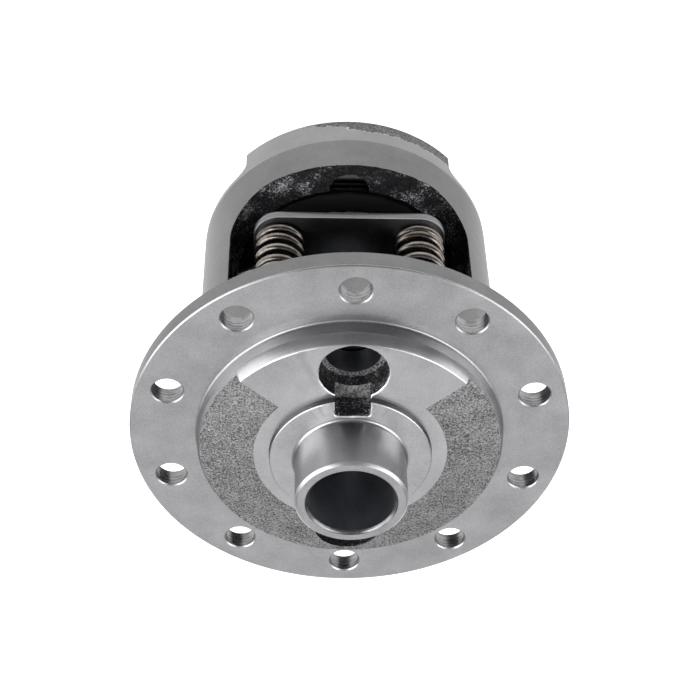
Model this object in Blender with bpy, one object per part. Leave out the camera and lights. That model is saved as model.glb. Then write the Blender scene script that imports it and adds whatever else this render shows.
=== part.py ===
"""Clutch-type limited-slip differential for a rear axle, as it comes apart on a bench.

The axle axis is +Z. The part stands on the end face of its rear journal at z = 0, the ring-gear
flange is near the top, the cross pin lies along X and the two case windows face +Y and -Y.
All sizes are in metres.
"""
import math

import bmesh
import bpy
from mathutils import Matrix, Vector

# ---- driving dimensions -------------------------------------------------------------------
GAP = 0.0003                      # running gap between touching pieces

JOURNAL_RADIUS = 0.02064          # bearing seat
JOURNAL_LENGTH = 0.0218
AXLE_BORE_RADIUS = 0.0159
SHOULDER_RADIUS = 0.0301          # raised disc that the bearing cone rests against
FLANGE_RADIUS = 0.0825
FLANGE_THICKNESS = 0.00775
BOLT_CIRCLE_RADIUS = 0.07106
BOLT_HOLE_RADIUS = 0.0058
BOLT_COUNT = 10
HUB_RADIUS = 0.0570               # raised cast hub in front of the flange
HUB_CAST_HEIGHT = 0.0070          # its rough rim, above the flange
HUB_PAD_HEIGHT = 0.0100           # its turned pad, above the flange
HUB_PAD_RADIUS = 0.0545
PAD_HALF_ANGLE = math.radians(48)
HUB_ROUGH_INNER_RADIUS = 0.0360   # where the rough face starts to slope down to its rim
BODY_RADIUS = 0.0588
BODY_END_RADIUS = 0.0582
BODY_END_CHAMFER = 0.0003
BODY_TAPER_HEIGHT = 0.0141        # the end band widens to the body over this height
PILOT_RADIUS = 0.0604             # register for the ring gear's bore
PILOT_LENGTH = 0.0105
CAVITY_RADIUS = 0.0465
CAVITY_HALF_HEIGHT = 0.0445

BODY_LENGTH = 0.1220              # rear end face to the flange's front face
REAR_SHOULDER_STEP = 0.0030
FRONT_SHOULDER_STEP = 0.0029
PIN_HEIGHT = 0.0890               # cross pin's axis above the rear journal's end

WINDOW_HALF_WIDTH = 0.0468
WINDOW_HALF_HEIGHT = 0.0332
WINDOW_CORNER = 0.0175
REAR_STEP_X = 0.0415              # the rear end is narrower than the body: two side cuts
REAR_STEP_HEIGHT = 0.0115
REAR_STEP_FILLET = 0.0045

OIL_HOLE_Y = 0.0412
OIL_HOLE_RADIUS = 0.0127
OIL_BORE_RADIUS = 0.0105
REAR_OIL_HOLE_Y = 0.0460
REAR_OIL_HOLE_RADIUS = 0.0079
OIL_SLOT_HALF_WIDTH = 0.0065
OIL_SLOT_INNER_Y = 0.0225
OIL_SLOT_DEPTH = 0.0100

MODULE = 0.00425                  # bevel teeth, at the large end
SIDE_TEETH = 18
PINION_TEETH = 12
PRESSURE_ANGLE = math.radians(25)
TOE_RATIO = 0.80                  # small end of the teeth over the large end
BACKLASH = 0.00030
GEAR_BACK = 0.0332                # side gear back face, from the pin axis
SIDE_BACK_RADIUS = 0.0366
SIDE_FACE_RADIUS = 0.0220         # flat ring at the small end of the teeth
SIDE_BORE_RADIUS = 0.0156
SIDE_HUB_RADIUS = 0.0260
PINION_FACE = 0.0276              # small end face, from the axle axis
PINION_BACK_RADIUS = 0.0230
PINION_POCKET_RADIUS = 0.0290     # machined flat in the case behind each pinion

PIN_RADIUS = 0.0100
PIN_LENGTH = 0.1150
PIN_CHAMFER = 0.0010
WASHER_RADIUS = 0.0215
WASHER_THICKNESS = 0.0012
LOCK_BOLT_RADIUS = 0.0030
LOCK_BOLT_X = 0.0528
LOCK_BOLT_HEAD_RADIUS = 0.0056
LOCK_BOLT_HEAD_HEIGHT = 0.0052
LOCK_BOLT_SIDES = 12              # of the shank, twice the hexagon's

CLUTCH_PLATE_THICKNESS = 0.0013
PLATE_PAIRS = 3                   # per side: a friction disc and an eared steel plate each
DISC_OUTER_RADIUS = 0.0445
EARED_OUTER_RADIUS = 0.0458
EARED_INNER_RADIUS = 0.0285
EAR_RADIUS = 0.0504
EAR_HALF_WIDTH = 0.0055
SHIM_THICKNESS = 0.0008
SHIM_OUTER_RADIUS = 0.0440
SHIM_INNER_RADIUS = 0.0290
CLIP_THICKNESS = 0.0008
CLIP_LIP_GAP = 0.0012             # from the eared plates' rim to the clip's open ends
SLOT_HALF_WIDTH = 0.0076
SLOT_RADIUS = 0.0524
SLOT_INNER_RADIUS = 0.0400

SPRING_X = 0.0270
SPRING_Y = 0.0355
SPRING_RADIUS = 0.0102            # outside
SPRING_WIRE_RADIUS = 0.0017
SPRING_TURNS = 4.37               # wound left-handed
SPRING_SHORT_CLOSED_TURNS = 0.5   # closed coils at one end
SPRING_LONG_CLOSED_TURNS = 1.0    # and at the other
SPRING_LONG_START = math.radians(90)   # where the wire begins, on a spring standing on its long end
SPRING_SHORT_START = math.radians(140)
SPRING_HALF_SPACE = 0.0140        # from the pin's axis to each spring plate
SPRING_PLATE_THICKNESS = 0.0036
SPRING_PLATE_HALF_X = 0.0375
SPRING_PLATE_HALF_Y = 0.0475
SPRING_PLATE_CORNER = 0.0100
PLATE_NOTCH_X = 0.0245
PLATE_NOTCH_Y = 0.0254
PLATE_HOLE_RADIUS = 0.0165

CASE_SEGMENTS = 48
HUB_FACE_SEGMENTS = 44
SMALL_SEGMENTS = 24

# ---- heights that follow from them --------------------------------------------------------
REAR_SHOULDER_Z = JOURNAL_LENGTH
BODY_END_Z = REAR_SHOULDER_Z + REAR_SHOULDER_STEP
FLANGE_FRONT_Z = BODY_END_Z + BODY_LENGTH
FLANGE_BACK_Z = FLANGE_FRONT_Z - FLANGE_THICKNESS
PAD_Z = FLANGE_FRONT_Z + HUB_PAD_HEIGHT
FRONT_SHOULDER_Z = PAD_Z + FRONT_SHOULDER_STEP
TOP_Z = FRONT_SHOULDER_Z + JOURNAL_LENGTH
CAVITY_LOW_Z = PIN_HEIGHT - CAVITY_HALF_HEIGHT
CAVITY_HIGH_Z = PIN_HEIGHT + CAVITY_HALF_HEIGHT
PIN_CENTRE = Vector((0.0, 0.0, PIN_HEIGHT))

STEEL = ((0.46, 0.46, 0.47), 0.38, 1.0)
IRON = ((0.34, 0.34, 0.35), 0.50, 1.0)
SPRING_STEEL = ((0.30, 0.27, 0.24), 0.35, 1.0)
FRICTION = ((0.16, 0.14, 0.12), 0.85, 0.0)
HARDWARE = ((0.20, 0.20, 0.21), 0.40, 1.0)


# ---- helpers ------------------------------------------------------------------------------
def material(name, look):
    """A Principled material, made once for each name."""
    made = bpy.data.materials.get(name) or bpy.data.materials.new(name)
    made.use_nodes = True
    shader = made.node_tree.nodes["Principled BSDF"]
    colour, roughness, metallic = look
    shader.inputs["Base Color"].default_value = (*colour, 1.0)
    shader.inputs["Roughness"].default_value = roughness
    shader.inputs["Metallic"].default_value = metallic
    return made


def add_object(name, mesh_builder, finish=None, origin=(0.0, 0.0, 0.0)):
    """Turn a bmesh into a named object whose origin is given in world coordinates."""
    bmesh.ops.recalc_face_normals(mesh_builder, faces=mesh_builder.faces)
    mesh_builder.transform(Matrix.Translation(-Vector(origin)))
    mesh = bpy.data.meshes.new(name)
    mesh_builder.to_mesh(mesh)
    mesh_builder.free()
    mesh.shade_smooth()
    mesh.set_sharp_from_angle(angle=math.radians(30))
    made = bpy.data.objects.new(name, mesh)
    made.location = origin
    bpy.context.scene.collection.objects.link(made)
    if finish:
        mesh.materials.append(material(*finish))
    return made


def cut(target, cutters):
    """One Boolean difference with every cutter, which stays on the target as a modifier."""
    group = bpy.data.collections.new(f"{target.name}_cutters")
    bpy.context.scene.collection.children.link(group)
    for cutter in cutters:
        cutter.hide_render = True
        cutter.display_type = 'WIRE'
        group.objects.link(cutter)
    modifier = target.modifiers.new("cuts", 'BOOLEAN')
    modifier.operation = 'DIFFERENCE'
    modifier.operand_type = 'COLLECTION'
    modifier.collection = group


def bridge(builder, loop_a, loop_b):
    """Quads between two closed rings of vertices with the same count."""
    count = len(loop_a)
    for i in range(count):
        j = (i + 1) % count
        builder.faces.new((loop_a[i], loop_a[j], loop_b[j], loop_b[i]))


def turned(profile, segments, builder=None):
    """Revolve a closed outline of (radius, z) points about the Z axis."""
    builder = builder or bmesh.new()
    rings = []
    for radius, z in profile:
        ring = []
        for i in range(segments):
            angle = math.tau * i / segments
            ring.append(builder.verts.new((radius * math.cos(angle), radius * math.sin(angle), z)))
        rings.append(ring)
    for ring_a, ring_b in zip(rings, rings[1:] + rings[:1]):
        bridge(builder, ring_a, ring_b)
    return builder


def turned_sector(profile, start, end, segments):
    """Revolve a closed outline through part of a turn and cap both ends."""
    builder = bmesh.new()
    sections = []
    for i in range(segments + 1):
        angle = start + (end - start) * i / segments
        sections.append([builder.verts.new((r * math.cos(angle), r * math.sin(angle), z))
                         for r, z in profile])
    for section_a, section_b in zip(sections, sections[1:]):
        bridge(builder, section_a, section_b)
    builder.faces.new(sections[0])
    builder.faces.new(list(reversed(sections[-1])))
    return builder


def prism(outline, low, high, to_world, builder=None):
    """Extrude an outline of (u, v) points from low to high; to_world maps (u, v, w) to a point."""
    builder = builder or bmesh.new()
    bottom = [builder.verts.new(to_world(u, v, low)) for u, v in outline]
    top = [builder.verts.new(to_world(u, v, high)) for u, v in outline]
    builder.faces.new(bottom)
    builder.faces.new(list(reversed(top)))
    bridge(builder, bottom, top)
    return builder


def upright(u, v, w):
    return (u, v, w)


def arc(centre_u, centre_v, radius, start, end, segments):
    """Points on a circular arc, angles in degrees."""
    points = []
    for i in range(segments + 1):
        angle = math.radians(start + (end - start) * i / segments)
        points.append((centre_u + radius * math.cos(angle), centre_v + radius * math.sin(angle)))
    return points


def circle(centre_u, centre_v, radius, segments):
    return arc(centre_u, centre_v, radius, 0, 360, segments)[:-1]


def rounded_rectangle(half_u, half_v, radius, centre_v=0.0, corner_segments=6):
    points = []
    for sign_u, sign_v, start in ((1, 1, 0), (-1, 1, 90), (-1, -1, 180), (1, -1, 270)):
        points += arc(sign_u * (half_u - radius), centre_v + sign_v * (half_v - radius),
                      radius, start, start + 90, corner_segments)
    return points


# ---- case ---------------------------------------------------------------------------------
def case_profile():
    """Half section of the one-piece case, from the rear journal up the outside and back inside."""
    journal_chamfer = 0.0011
    rear = [
        (AXLE_BORE_RADIUS + journal_chamfer, 0.0),
        (JOURNAL_RADIUS - journal_chamfer, 0.0),
        (JOURNAL_RADIUS, journal_chamfer),
        (JOURNAL_RADIUS, REAR_SHOULDER_Z),
        (SHOULDER_RADIUS, REAR_SHOULDER_Z),
        (SHOULDER_RADIUS, BODY_END_Z),
    ]
    body = [
        (BODY_END_RADIUS - BODY_END_CHAMFER, BODY_END_Z),
        (BODY_END_RADIUS, BODY_END_Z + BODY_END_CHAMFER),
        (BODY_RADIUS, BODY_END_Z + BODY_TAPER_HEIGHT),
        (BODY_RADIUS, FLANGE_BACK_Z - PILOT_LENGTH - 0.001),
        (PILOT_RADIUS, FLANGE_BACK_Z - PILOT_LENGTH),
        (PILOT_RADIUS, FLANGE_BACK_Z),
    ]
    rim_chamfer = 0.0007
    flange = [
        (FLANGE_RADIUS - rim_chamfer, FLANGE_BACK_Z),
        (FLANGE_RADIUS, FLANGE_BACK_Z + rim_chamfer),
        (FLANGE_RADIUS, FLANGE_FRONT_Z - rim_chamfer),
        (FLANGE_RADIUS - rim_chamfer, FLANGE_FRONT_Z),
        (HUB_RADIUS, FLANGE_FRONT_Z),
        (HUB_RADIUS, FLANGE_FRONT_Z + HUB_CAST_HEIGHT),
        (HUB_PAD_RADIUS, PAD_Z),
        (SHOULDER_RADIUS, PAD_Z),
        (SHOULDER_RADIUS, FRONT_SHOULDER_Z),
    ]
    front = [
        (JOURNAL_RADIUS, FRONT_SHOULDER_Z),
        (JOURNAL_RADIUS, TOP_Z - journal_chamfer),
        (JOURNAL_RADIUS - journal_chamfer, TOP_Z),
        (AXLE_BORE_RADIUS + journal_chamfer, TOP_Z),
        (AXLE_BORE_RADIUS, TOP_Z - journal_chamfer),
    ]
    inside = [
        (AXLE_BORE_RADIUS, CAVITY_HIGH_Z),
        (CAVITY_RADIUS, CAVITY_HIGH_Z),
        (CAVITY_RADIUS, CAVITY_LOW_Z),
        (AXLE_BORE_RADIUS, CAVITY_LOW_Z),
        (AXLE_BORE_RADIUS, journal_chamfer),
    ]
    return rear + body + flange + front + inside


def window_cutters():
    """Both windows are one rounded opening cut straight through along Y."""
    outline = rounded_rectangle(WINDOW_HALF_WIDTH, WINDOW_HALF_HEIGHT, WINDOW_CORNER,
                                centre_v=PIN_HEIGHT)
    reach = BODY_RADIUS + 0.010
    shape = prism(outline, -reach, reach, lambda u, v, w: (u, w, v))
    return [add_object("cutter_windows", shape)]


def hub_face_cutters():
    """Outside the turned pad the hub's face is lower and rough, sloping down to its rim."""
    outer = HUB_RADIUS + 0.0015
    above = PAD_Z + 0.001
    slope = [(HUB_ROUGH_INNER_RADIUS, PAD_Z - 0.0002),
             (outer, FLANGE_FRONT_Z + HUB_CAST_HEIGHT - 0.0006),
             (outer, above), (HUB_ROUGH_INNER_RADIUS, above)]
    start = math.pi / 2 + PAD_HALF_ANGLE
    end = start + math.tau - 2 * PAD_HALF_ANGLE
    shape = turned_sector(slope, start, end, HUB_FACE_SEGMENTS)
    return [add_object("cutter_hub_face", shape)]


def oil_hole_cutters():
    """Oil holes at +Y and -Y: stepped in the front wall, smaller and plain in the rear wall.

    The front one at +Y has a slot towards the journal.
    """
    ledge_z = FLANGE_FRONT_Z - 0.002
    top = FRONT_SHOULDER_Z + 0.005
    cutters = []
    for side in (1, -1):
        centre_y = side * OIL_HOLE_Y
        wide = prism(circle(0, centre_y, OIL_HOLE_RADIUS, SMALL_SEGMENTS), ledge_z, top, upright)
        cutters.append(add_object(f"cutter_oil_hole_{side}", wide))
        deep = prism(circle(0, centre_y, OIL_BORE_RADIUS, SMALL_SEGMENTS),
                     CAVITY_HIGH_Z - 0.003, top, upright)
        cutters.append(add_object(f"cutter_oil_bore_{side}", deep))
        rear = prism(circle(0, side * REAR_OIL_HOLE_Y, REAR_OIL_HOLE_RADIUS, SMALL_SEGMENTS),
                     BODY_END_Z - 0.006, PIN_HEIGHT - WINDOW_HALF_HEIGHT + 0.003, upright)
        cutters.append(add_object(f"cutter_rear_oil_hole_{side}", rear))
    slot = [(-OIL_SLOT_HALF_WIDTH, OIL_SLOT_INNER_Y), (OIL_SLOT_HALF_WIDTH, OIL_SLOT_INNER_Y),
            (OIL_SLOT_HALF_WIDTH, OIL_HOLE_Y), (-OIL_SLOT_HALF_WIDTH, OIL_HOLE_Y)]
    shape = prism(slot, FRONT_SHOULDER_Z - OIL_SLOT_DEPTH, top, upright)
    cutters.append(add_object("cutter_oil_slot", shape))
    return cutters


def bolt_hole_cutters():
    builder = bmesh.new()
    for i in range(BOLT_COUNT):
        angle = math.pi / 2 + math.tau * i / BOLT_COUNT
        centre = (BOLT_CIRCLE_RADIUS * math.cos(angle), BOLT_CIRCLE_RADIUS * math.sin(angle))
        prism(circle(*centre, BOLT_HOLE_RADIUS, 16),
              FLANGE_BACK_Z - 0.003, FLANGE_FRONT_Z + 0.003, upright, builder)
    return [add_object("cutter_bolt_holes", builder)]


def rear_step_cutters():
    """The rear end is narrowed at +X and -X, with a fillet up to a shoulder."""
    shoulder_z = BODY_END_Z + REAR_STEP_HEIGHT
    builder = bmesh.new()
    for side in (1, -1):
        corner = arc(REAR_STEP_X + REAR_STEP_FILLET, shoulder_z - REAR_STEP_FILLET,
                     REAR_STEP_FILLET, 90, 180, 6)
        reach = BODY_RADIUS + 0.005
        outline = [(reach, shoulder_z)] + corner
        outline += [(REAR_STEP_X, BODY_END_Z - 0.002), (reach, BODY_END_Z - 0.002)]
        outline = [(side * u, v) for u, v in outline]
        prism(outline, -reach, reach, lambda u, v, w: (u, w, v), builder)
    return [add_object("cutter_rear_steps", builder)]


def clip_slot_cutters():
    """Eight slots in the clutch pockets, four per side, for the ears and their guide clips."""
    builder = bmesh.new()
    near = WINDOW_HALF_HEIGHT + 0.0003
    far = CAVITY_HALF_HEIGHT - 0.0002
    pockets = ((PIN_HEIGHT - far, PIN_HEIGHT - near), (PIN_HEIGHT + near, PIN_HEIGHT + far))
    outline = [(SLOT_INNER_RADIUS, -SLOT_HALF_WIDTH), (SLOT_RADIUS, -SLOT_HALF_WIDTH),
               (SLOT_RADIUS, SLOT_HALF_WIDTH), (SLOT_INNER_RADIUS, SLOT_HALF_WIDTH)]
    for low, high in pockets:
        for quarter in range(4):
            turn = math.radians(45 + 90 * quarter)
            rotated = [(u * math.cos(turn) - v * math.sin(turn),
                        u * math.sin(turn) + v * math.cos(turn)) for u, v in outline]
            prism(rotated, low, high, upright, builder)
    return [add_object("cutter_clip_slots", builder)]


def pin_bore_cutters():
    reach = BODY_RADIUS + 0.005
    bore = prism(circle(0, PIN_HEIGHT, PIN_RADIUS + GAP, SMALL_SEGMENTS), -reach, reach,
                 lambda u, v, w: (w, u, v))
    hole = prism(circle(LOCK_BOLT_X, 0, LOCK_BOLT_RADIUS + GAP, LOCK_BOLT_SIDES),
                 BODY_END_Z, PIN_HEIGHT + PIN_RADIUS + 0.008, upright)
    seat = WINDOW_HALF_WIDTH - 0.0001
    pocket = prism(circle(0, PIN_HEIGHT, PINION_POCKET_RADIUS, 36), -seat, seat,
                   lambda u, v, w: (w, u, v))
    return [add_object("cutter_pin_bore", bore), add_object("cutter_lock_bolt_hole", hole),
            add_object("cutter_pinion_pockets", pocket)]


def make_case():
    case = add_object("case", turned(case_profile(), CASE_SEGMENTS), ("cast_iron_case", IRON))
    cut(case, window_cutters() + hub_face_cutters() + oil_hole_cutters() + bolt_hole_cutters()
        + rear_step_cutters() + clip_slot_cutters() + pin_bore_cutters())


# ---- bevel gears --------------------------------------------------------------------------
def involute(angle):
    return math.tan(angle) - angle


def tooth_half_angle(radius, pitch_radius, virtual_teeth):
    """Half thickness of a tooth, as an angle, at a radius of the developed back cone."""
    base_radius = pitch_radius * math.cos(PRESSURE_ANGLE)
    pressure = math.acos(min(1.0, base_radius / radius))
    at_pitch = math.pi / (2 * virtual_teeth) - BACKLASH / (2 * pitch_radius)
    return at_pitch + involute(PRESSURE_ANGLE) - involute(pressure)


def tooth_ring(teeth, cone_angle, addendum, dedendum, phase):
    """Large-end outline of a bevel gear as (radius, height from the apex, angle) points."""
    pitch_radius = MODULE * teeth / 2
    pitch_height = pitch_radius / math.tan(cone_angle)
    developed_radius = pitch_radius / math.cos(cone_angle)
    virtual_teeth = teeth / math.cos(cone_angle)
    offsets = (-dedendum, -0.30 * dedendum, addendum)
    flank = []
    for offset in offsets:
        half = tooth_half_angle(developed_radius + offset, developed_radius, virtual_teeth)
        flank.append((pitch_radius + offset * math.cos(cone_angle),
                      pitch_height - offset * math.sin(cone_angle),
                      half / math.cos(cone_angle)))
    ring = []
    for tooth in range(teeth):
        centre = phase + math.tau * tooth / teeth
        ring += [(r, h, centre - half) for r, h, half in flank]
        ring += [(r, h, centre + half) for r, h, half in reversed(flank)]
    return ring


def bevel_gear(ring, blank):
    """Close a tooth ring with a turned blank: (radius, height) points from toe side to heel side.

    Heights run along +Z, away from the apex at the origin.
    """
    builder = bmesh.new()
    angles = [angle for _, _, angle in ring]

    def level(points):
        return [builder.verts.new((r * math.cos(a), r * math.sin(a), h)) for r, h, a in points]

    heel = level(ring)
    toe = level([(r * TOE_RATIO, h * TOE_RATIO, a) for r, h, a in ring])
    bridge(builder, heel, toe)
    previous = toe
    for radius, height in blank:
        following = level([(radius, height, angle) for angle in angles])
        bridge(builder, previous, following)
        previous = following
    bridge(builder, previous, heel)
    return builder


def place_gear(name, builder, axis, finish):
    """Turn a gear made along +Z so that it points along axis from the pin's centre."""
    turn = Vector((0, 0, 1)).rotation_difference(Vector(axis)).to_matrix().to_4x4()
    builder.transform(Matrix.Translation(PIN_CENTRE) @ turn)
    return add_object(name, builder, finish, origin=PIN_CENTRE)


def make_side_gears():
    cone_angle = math.atan2(SIDE_TEETH, PINION_TEETH)
    face = SPRING_HALF_SPACE + SPRING_PLATE_THICKNESS + GAP
    hub_end = CAVITY_HALF_HEIGHT - GAP
    blank = [(SIDE_FACE_RADIUS, face), (SIDE_BORE_RADIUS, face), (SIDE_BORE_RADIUS, hub_end),
             (SIDE_HUB_RADIUS, hub_end), (SIDE_HUB_RADIUS, GEAR_BACK),
             (SIDE_BACK_RADIUS, GEAR_BACK)]
    for name, direction in (("side_gear_flange_side", 1), ("side_gear_rear", -1)):
        ring = tooth_ring(SIDE_TEETH, cone_angle, 0.75 * MODULE, 1.15 * MODULE, 0.0)
        builder = bevel_gear(ring, blank)
        if direction < 0:
            builder.transform(Matrix.Rotation(math.pi, 4, 'X'))
        builder.transform(Matrix.Translation(PIN_CENTRE))
        add_object(name, builder, ("gear_steel", STEEL), origin=PIN_CENTRE)


def make_pinions():
    cone_angle = math.atan2(PINION_TEETH, SIDE_TEETH)
    back = WINDOW_HALF_WIDTH - WASHER_THICKNESS - 2 * GAP
    bore = PIN_RADIUS + 0.00035
    blank = [(bore, PINION_FACE), (bore, back), (PINION_BACK_RADIUS, back)]
    half_pitch = math.pi / PINION_TEETH
    for name, side in (("pinion_gear_1", 1), ("pinion_gear_2", -1)):
        ring = tooth_ring(PINION_TEETH, cone_angle, 0.90 * MODULE, 1.0 * MODULE, half_pitch)
        place_gear(name, bevel_gear(ring, blank), (side, 0, 0), ("gear_steel", STEEL))


# ---- cross pin, washers, lock bolt --------------------------------------------------------
def make_cross_pin():
    half = PIN_LENGTH / 2
    profile = [(PIN_RADIUS - PIN_CHAMFER, -half), (PIN_RADIUS, -half + PIN_CHAMFER),
               (PIN_RADIUS, half - PIN_CHAMFER), (PIN_RADIUS - PIN_CHAMFER, half)]
    builder = bmesh.new()
    rings = []
    for radius, x in profile:
        ring = circle(0, PIN_HEIGHT, radius, SMALL_SEGMENTS)
        rings.append([builder.verts.new((x, u, v)) for u, v in ring])
    for ring_a, ring_b in zip(rings, rings[1:]):
        bridge(builder, ring_a, ring_b)
    builder.faces.new(rings[0])
    builder.faces.new(list(reversed(rings[-1])))
    pin = add_object("cross_pin", builder, ("pin_steel", STEEL), origin=PIN_CENTRE)
    reach = 2 * PIN_RADIUS
    hole = prism(circle(LOCK_BOLT_X, 0, LOCK_BOLT_RADIUS + GAP, LOCK_BOLT_SIDES),
                 PIN_HEIGHT - reach, PIN_HEIGHT + reach, upright)
    cut(pin, [add_object("cutter_pin_lock_hole", hole)])


def make_pinion_washers():
    inner = PIN_RADIUS + 0.0005
    for name, side in (("pinion_washer_1", 1), ("pinion_washer_2", -1)):
        face = side * (WINDOW_HALF_WIDTH - GAP)
        ends = (face, face - side * WASHER_THICKNESS)
        profile = [(inner, ends[0]), (WASHER_RADIUS, ends[0]),
                   (WASHER_RADIUS, ends[1]), (inner, ends[1])]
        builder = turned(profile, SMALL_SEGMENTS)
        builder.transform(Matrix.Translation(PIN_CENTRE) @ Matrix.Rotation(math.pi / 2, 4, 'Y'))
        add_object(name, builder, ("hardware", HARDWARE), origin=PIN_CENTRE)


def make_lock_bolt():
    """Hex-head bolt up through the case web and the end of the cross pin."""
    seat = BODY_END_Z + REAR_STEP_HEIGHT - GAP
    tip = PIN_HEIGHT + PIN_RADIUS + 0.006
    builder = bmesh.new()
    shank = circle(LOCK_BOLT_X, 0, LOCK_BOLT_RADIUS, LOCK_BOLT_SIDES)
    corners = circle(LOCK_BOLT_X, 0, LOCK_BOLT_HEAD_RADIUS, LOCK_BOLT_SIDES // 2)
    head = []
    for (u, v), (next_u, next_v) in zip(corners, corners[1:] + corners[:1]):
        head += [(u, v), ((u + next_u) / 2, (v + next_v) / 2)]
    levels = [[builder.verts.new((u, v, seat - LOCK_BOLT_HEAD_HEIGHT)) for u, v in head],
              [builder.verts.new((u, v, seat)) for u, v in head],
              [builder.verts.new((u, v, seat)) for u, v in shank],
              [builder.verts.new((u, v, tip)) for u, v in shank]]
    for level_a, level_b in zip(levels, levels[1:]):
        bridge(builder, level_a, level_b)
    builder.faces.new(levels[0])
    builder.faces.new(list(reversed(levels[-1])))
    add_object("cross_pin_lock_bolt", builder, ("hardware", HARDWARE))


# ---- clutch packs -------------------------------------------------------------------------
def ring_plate(outer, inner, low, high):
    profile = [(inner, low), (outer, low), (outer, high), (inner, high)]
    return turned(profile, SMALL_SEGMENTS)


def eared_plate(low, high):
    """A steel ring with four ears, made from an outer and an inner outline of equal counts."""
    half_ear = math.asin(EAR_HALF_WIDTH / EARED_OUTER_RADIUS)
    outer = []
    inner = []
    for quarter in range(4):
        centre = math.radians(45 + 90 * quarter)
        for side in (-1, 1):
            for radius in ((EARED_OUTER_RADIUS, EAR_RADIUS) if side < 0 else
                           (EAR_RADIUS, EARED_OUTER_RADIUS)):
                offset = math.asin(EAR_HALF_WIDTH / radius)
                angle = centre + side * offset
                outer.append((radius * math.cos(angle), radius * math.sin(angle)))
                inner.append(centre + side * half_ear * (0.6 if radius == EAR_RADIUS else 1.0))
        span = math.pi / 2 - 2 * half_ear
        for step in range(1, 5):
            angle = centre + half_ear + span * step / 5
            outer.append((EARED_OUTER_RADIUS * math.cos(angle),
                          EARED_OUTER_RADIUS * math.sin(angle)))
            inner.append(angle)
    builder = bmesh.new()
    inner_points = [(EARED_INNER_RADIUS * math.cos(a), EARED_INNER_RADIUS * math.sin(a))
                    for a in inner]
    loops = []
    for points, z in ((inner_points, low), (outer, low), (outer, high), (inner_points, high)):
        loops.append([builder.verts.new((u, v, z)) for u, v in points])
    for loop_a, loop_b in zip(loops, loops[1:] + loops[:1]):
        bridge(builder, loop_a, loop_b)
    return builder


def guide_clip(low, high, turn):
    """Channel-shaped clip that lines one slot around the ears."""
    outer = SLOT_RADIUS - GAP
    inner = outer - CLIP_THICKNESS
    half_out = SLOT_HALF_WIDTH - GAP
    half_in = half_out - CLIP_THICKNESS
    lip = EARED_OUTER_RADIUS + CLIP_LIP_GAP
    outline = [(lip, -half_out), (outer, -half_out), (outer, half_out), (lip, half_out),
               (lip, half_in), (inner, half_in), (inner, -half_in), (lip, -half_in)]
    rotated = [(u * math.cos(turn) - v * math.sin(turn), u * math.sin(turn) + v * math.cos(turn))
               for u, v in outline]
    return prism(rotated, low, high, upright)


def make_clutch_pack(side_name, direction):
    """Stack from the side gear's back out to the case: discs, eared plates and a shim."""
    step = CLUTCH_PLATE_THICKNESS + GAP
    height = GEAR_BACK + GAP
    pieces = []
    for i in range(2 * PLATE_PAIRS):
        kind = "friction_disc" if i % 2 == 0 else "eared_plate"
        pieces.append((f"{kind}_{side_name}_{i // 2 + 1}", kind, height))
        height += step
    shim_low = height
    for name, kind, start in pieces:
        low, high = sorted((PIN_HEIGHT + direction * start,
                            PIN_HEIGHT + direction * (start + CLUTCH_PLATE_THICKNESS)))
        if kind == "eared_plate":
            add_object(name, eared_plate(low, high), ("plate_steel", HARDWARE))
        else:
            disc = ring_plate(DISC_OUTER_RADIUS, SIDE_HUB_RADIUS + 0.0005, low, high)
            add_object(name, disc, ("friction_lining", FRICTION))
    low, high = sorted((PIN_HEIGHT + direction * shim_low,
                        PIN_HEIGHT + direction * (shim_low + SHIM_THICKNESS)))
    shim = ring_plate(SHIM_OUTER_RADIUS, SHIM_INNER_RADIUS, low, high)
    add_object(f"clutch_shim_{side_name}", shim, ("plate_steel", HARDWARE))
    clip_ends = (WINDOW_HALF_HEIGHT + 0.0006, CAVITY_HALF_HEIGHT - 0.0005)
    low, high = sorted(PIN_HEIGHT + direction * end for end in clip_ends)
    for quarter in range(4):
        turn = math.radians(45 + 90 * quarter)
        add_object(f"guide_clip_{side_name}_{quarter + 1}", guide_clip(low, high, turn),
                   ("hardware", HARDWARE))


# ---- preload springs ----------------------------------------------------------------------
def make_spring_plates():
    """Flat plates that carry the springs, notched for the pinions, with an axle hole."""
    corner = SPRING_PLATE_CORNER
    quarter = [(PLATE_NOTCH_X, PLATE_NOTCH_Y), (SPRING_PLATE_HALF_X, PLATE_NOTCH_Y)]
    quarter += arc(SPRING_PLATE_HALF_X - corner, SPRING_PLATE_HALF_Y - corner, corner, 0, 90, 6)
    mirrored = [(-u, v) for u, v in reversed(quarter)]
    upper = quarter + mirrored
    outline = upper + [(-u, -v) for u, v in upper]
    for name, direction in (("spring_plate_flange_side", 1), ("spring_plate_rear", -1)):
        low, high = sorted((PIN_HEIGHT + direction * SPRING_HALF_SPACE,
                            PIN_HEIGHT + direction * (SPRING_HALF_SPACE + SPRING_PLATE_THICKNESS)))
        plate = add_object(name, prism(outline, low, high, upright), ("plate_steel", HARDWARE))
        hole = prism(circle(0, 0, PLATE_HOLE_RADIUS, SMALL_SEGMENTS), low - 0.002, high + 0.002,
                     upright)
        cut(plate, [add_object(f"cutter_{name}_hole", hole)])


def spring_height(turn, length, low_closed, high_closed):
    """Height along the spring: the closed turns at each end lie almost on each other."""
    closed_pitch = 2 * SPRING_WIRE_RADIUS * 1.05
    rise = length - (low_closed + high_closed) * closed_pitch
    open_turns = SPRING_TURNS - low_closed - high_closed
    if turn < low_closed:
        return turn * closed_pitch
    if turn > SPRING_TURNS - high_closed:
        return length - (SPRING_TURNS - turn) * closed_pitch
    return low_closed * closed_pitch + rise * (turn - low_closed) / open_turns


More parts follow.
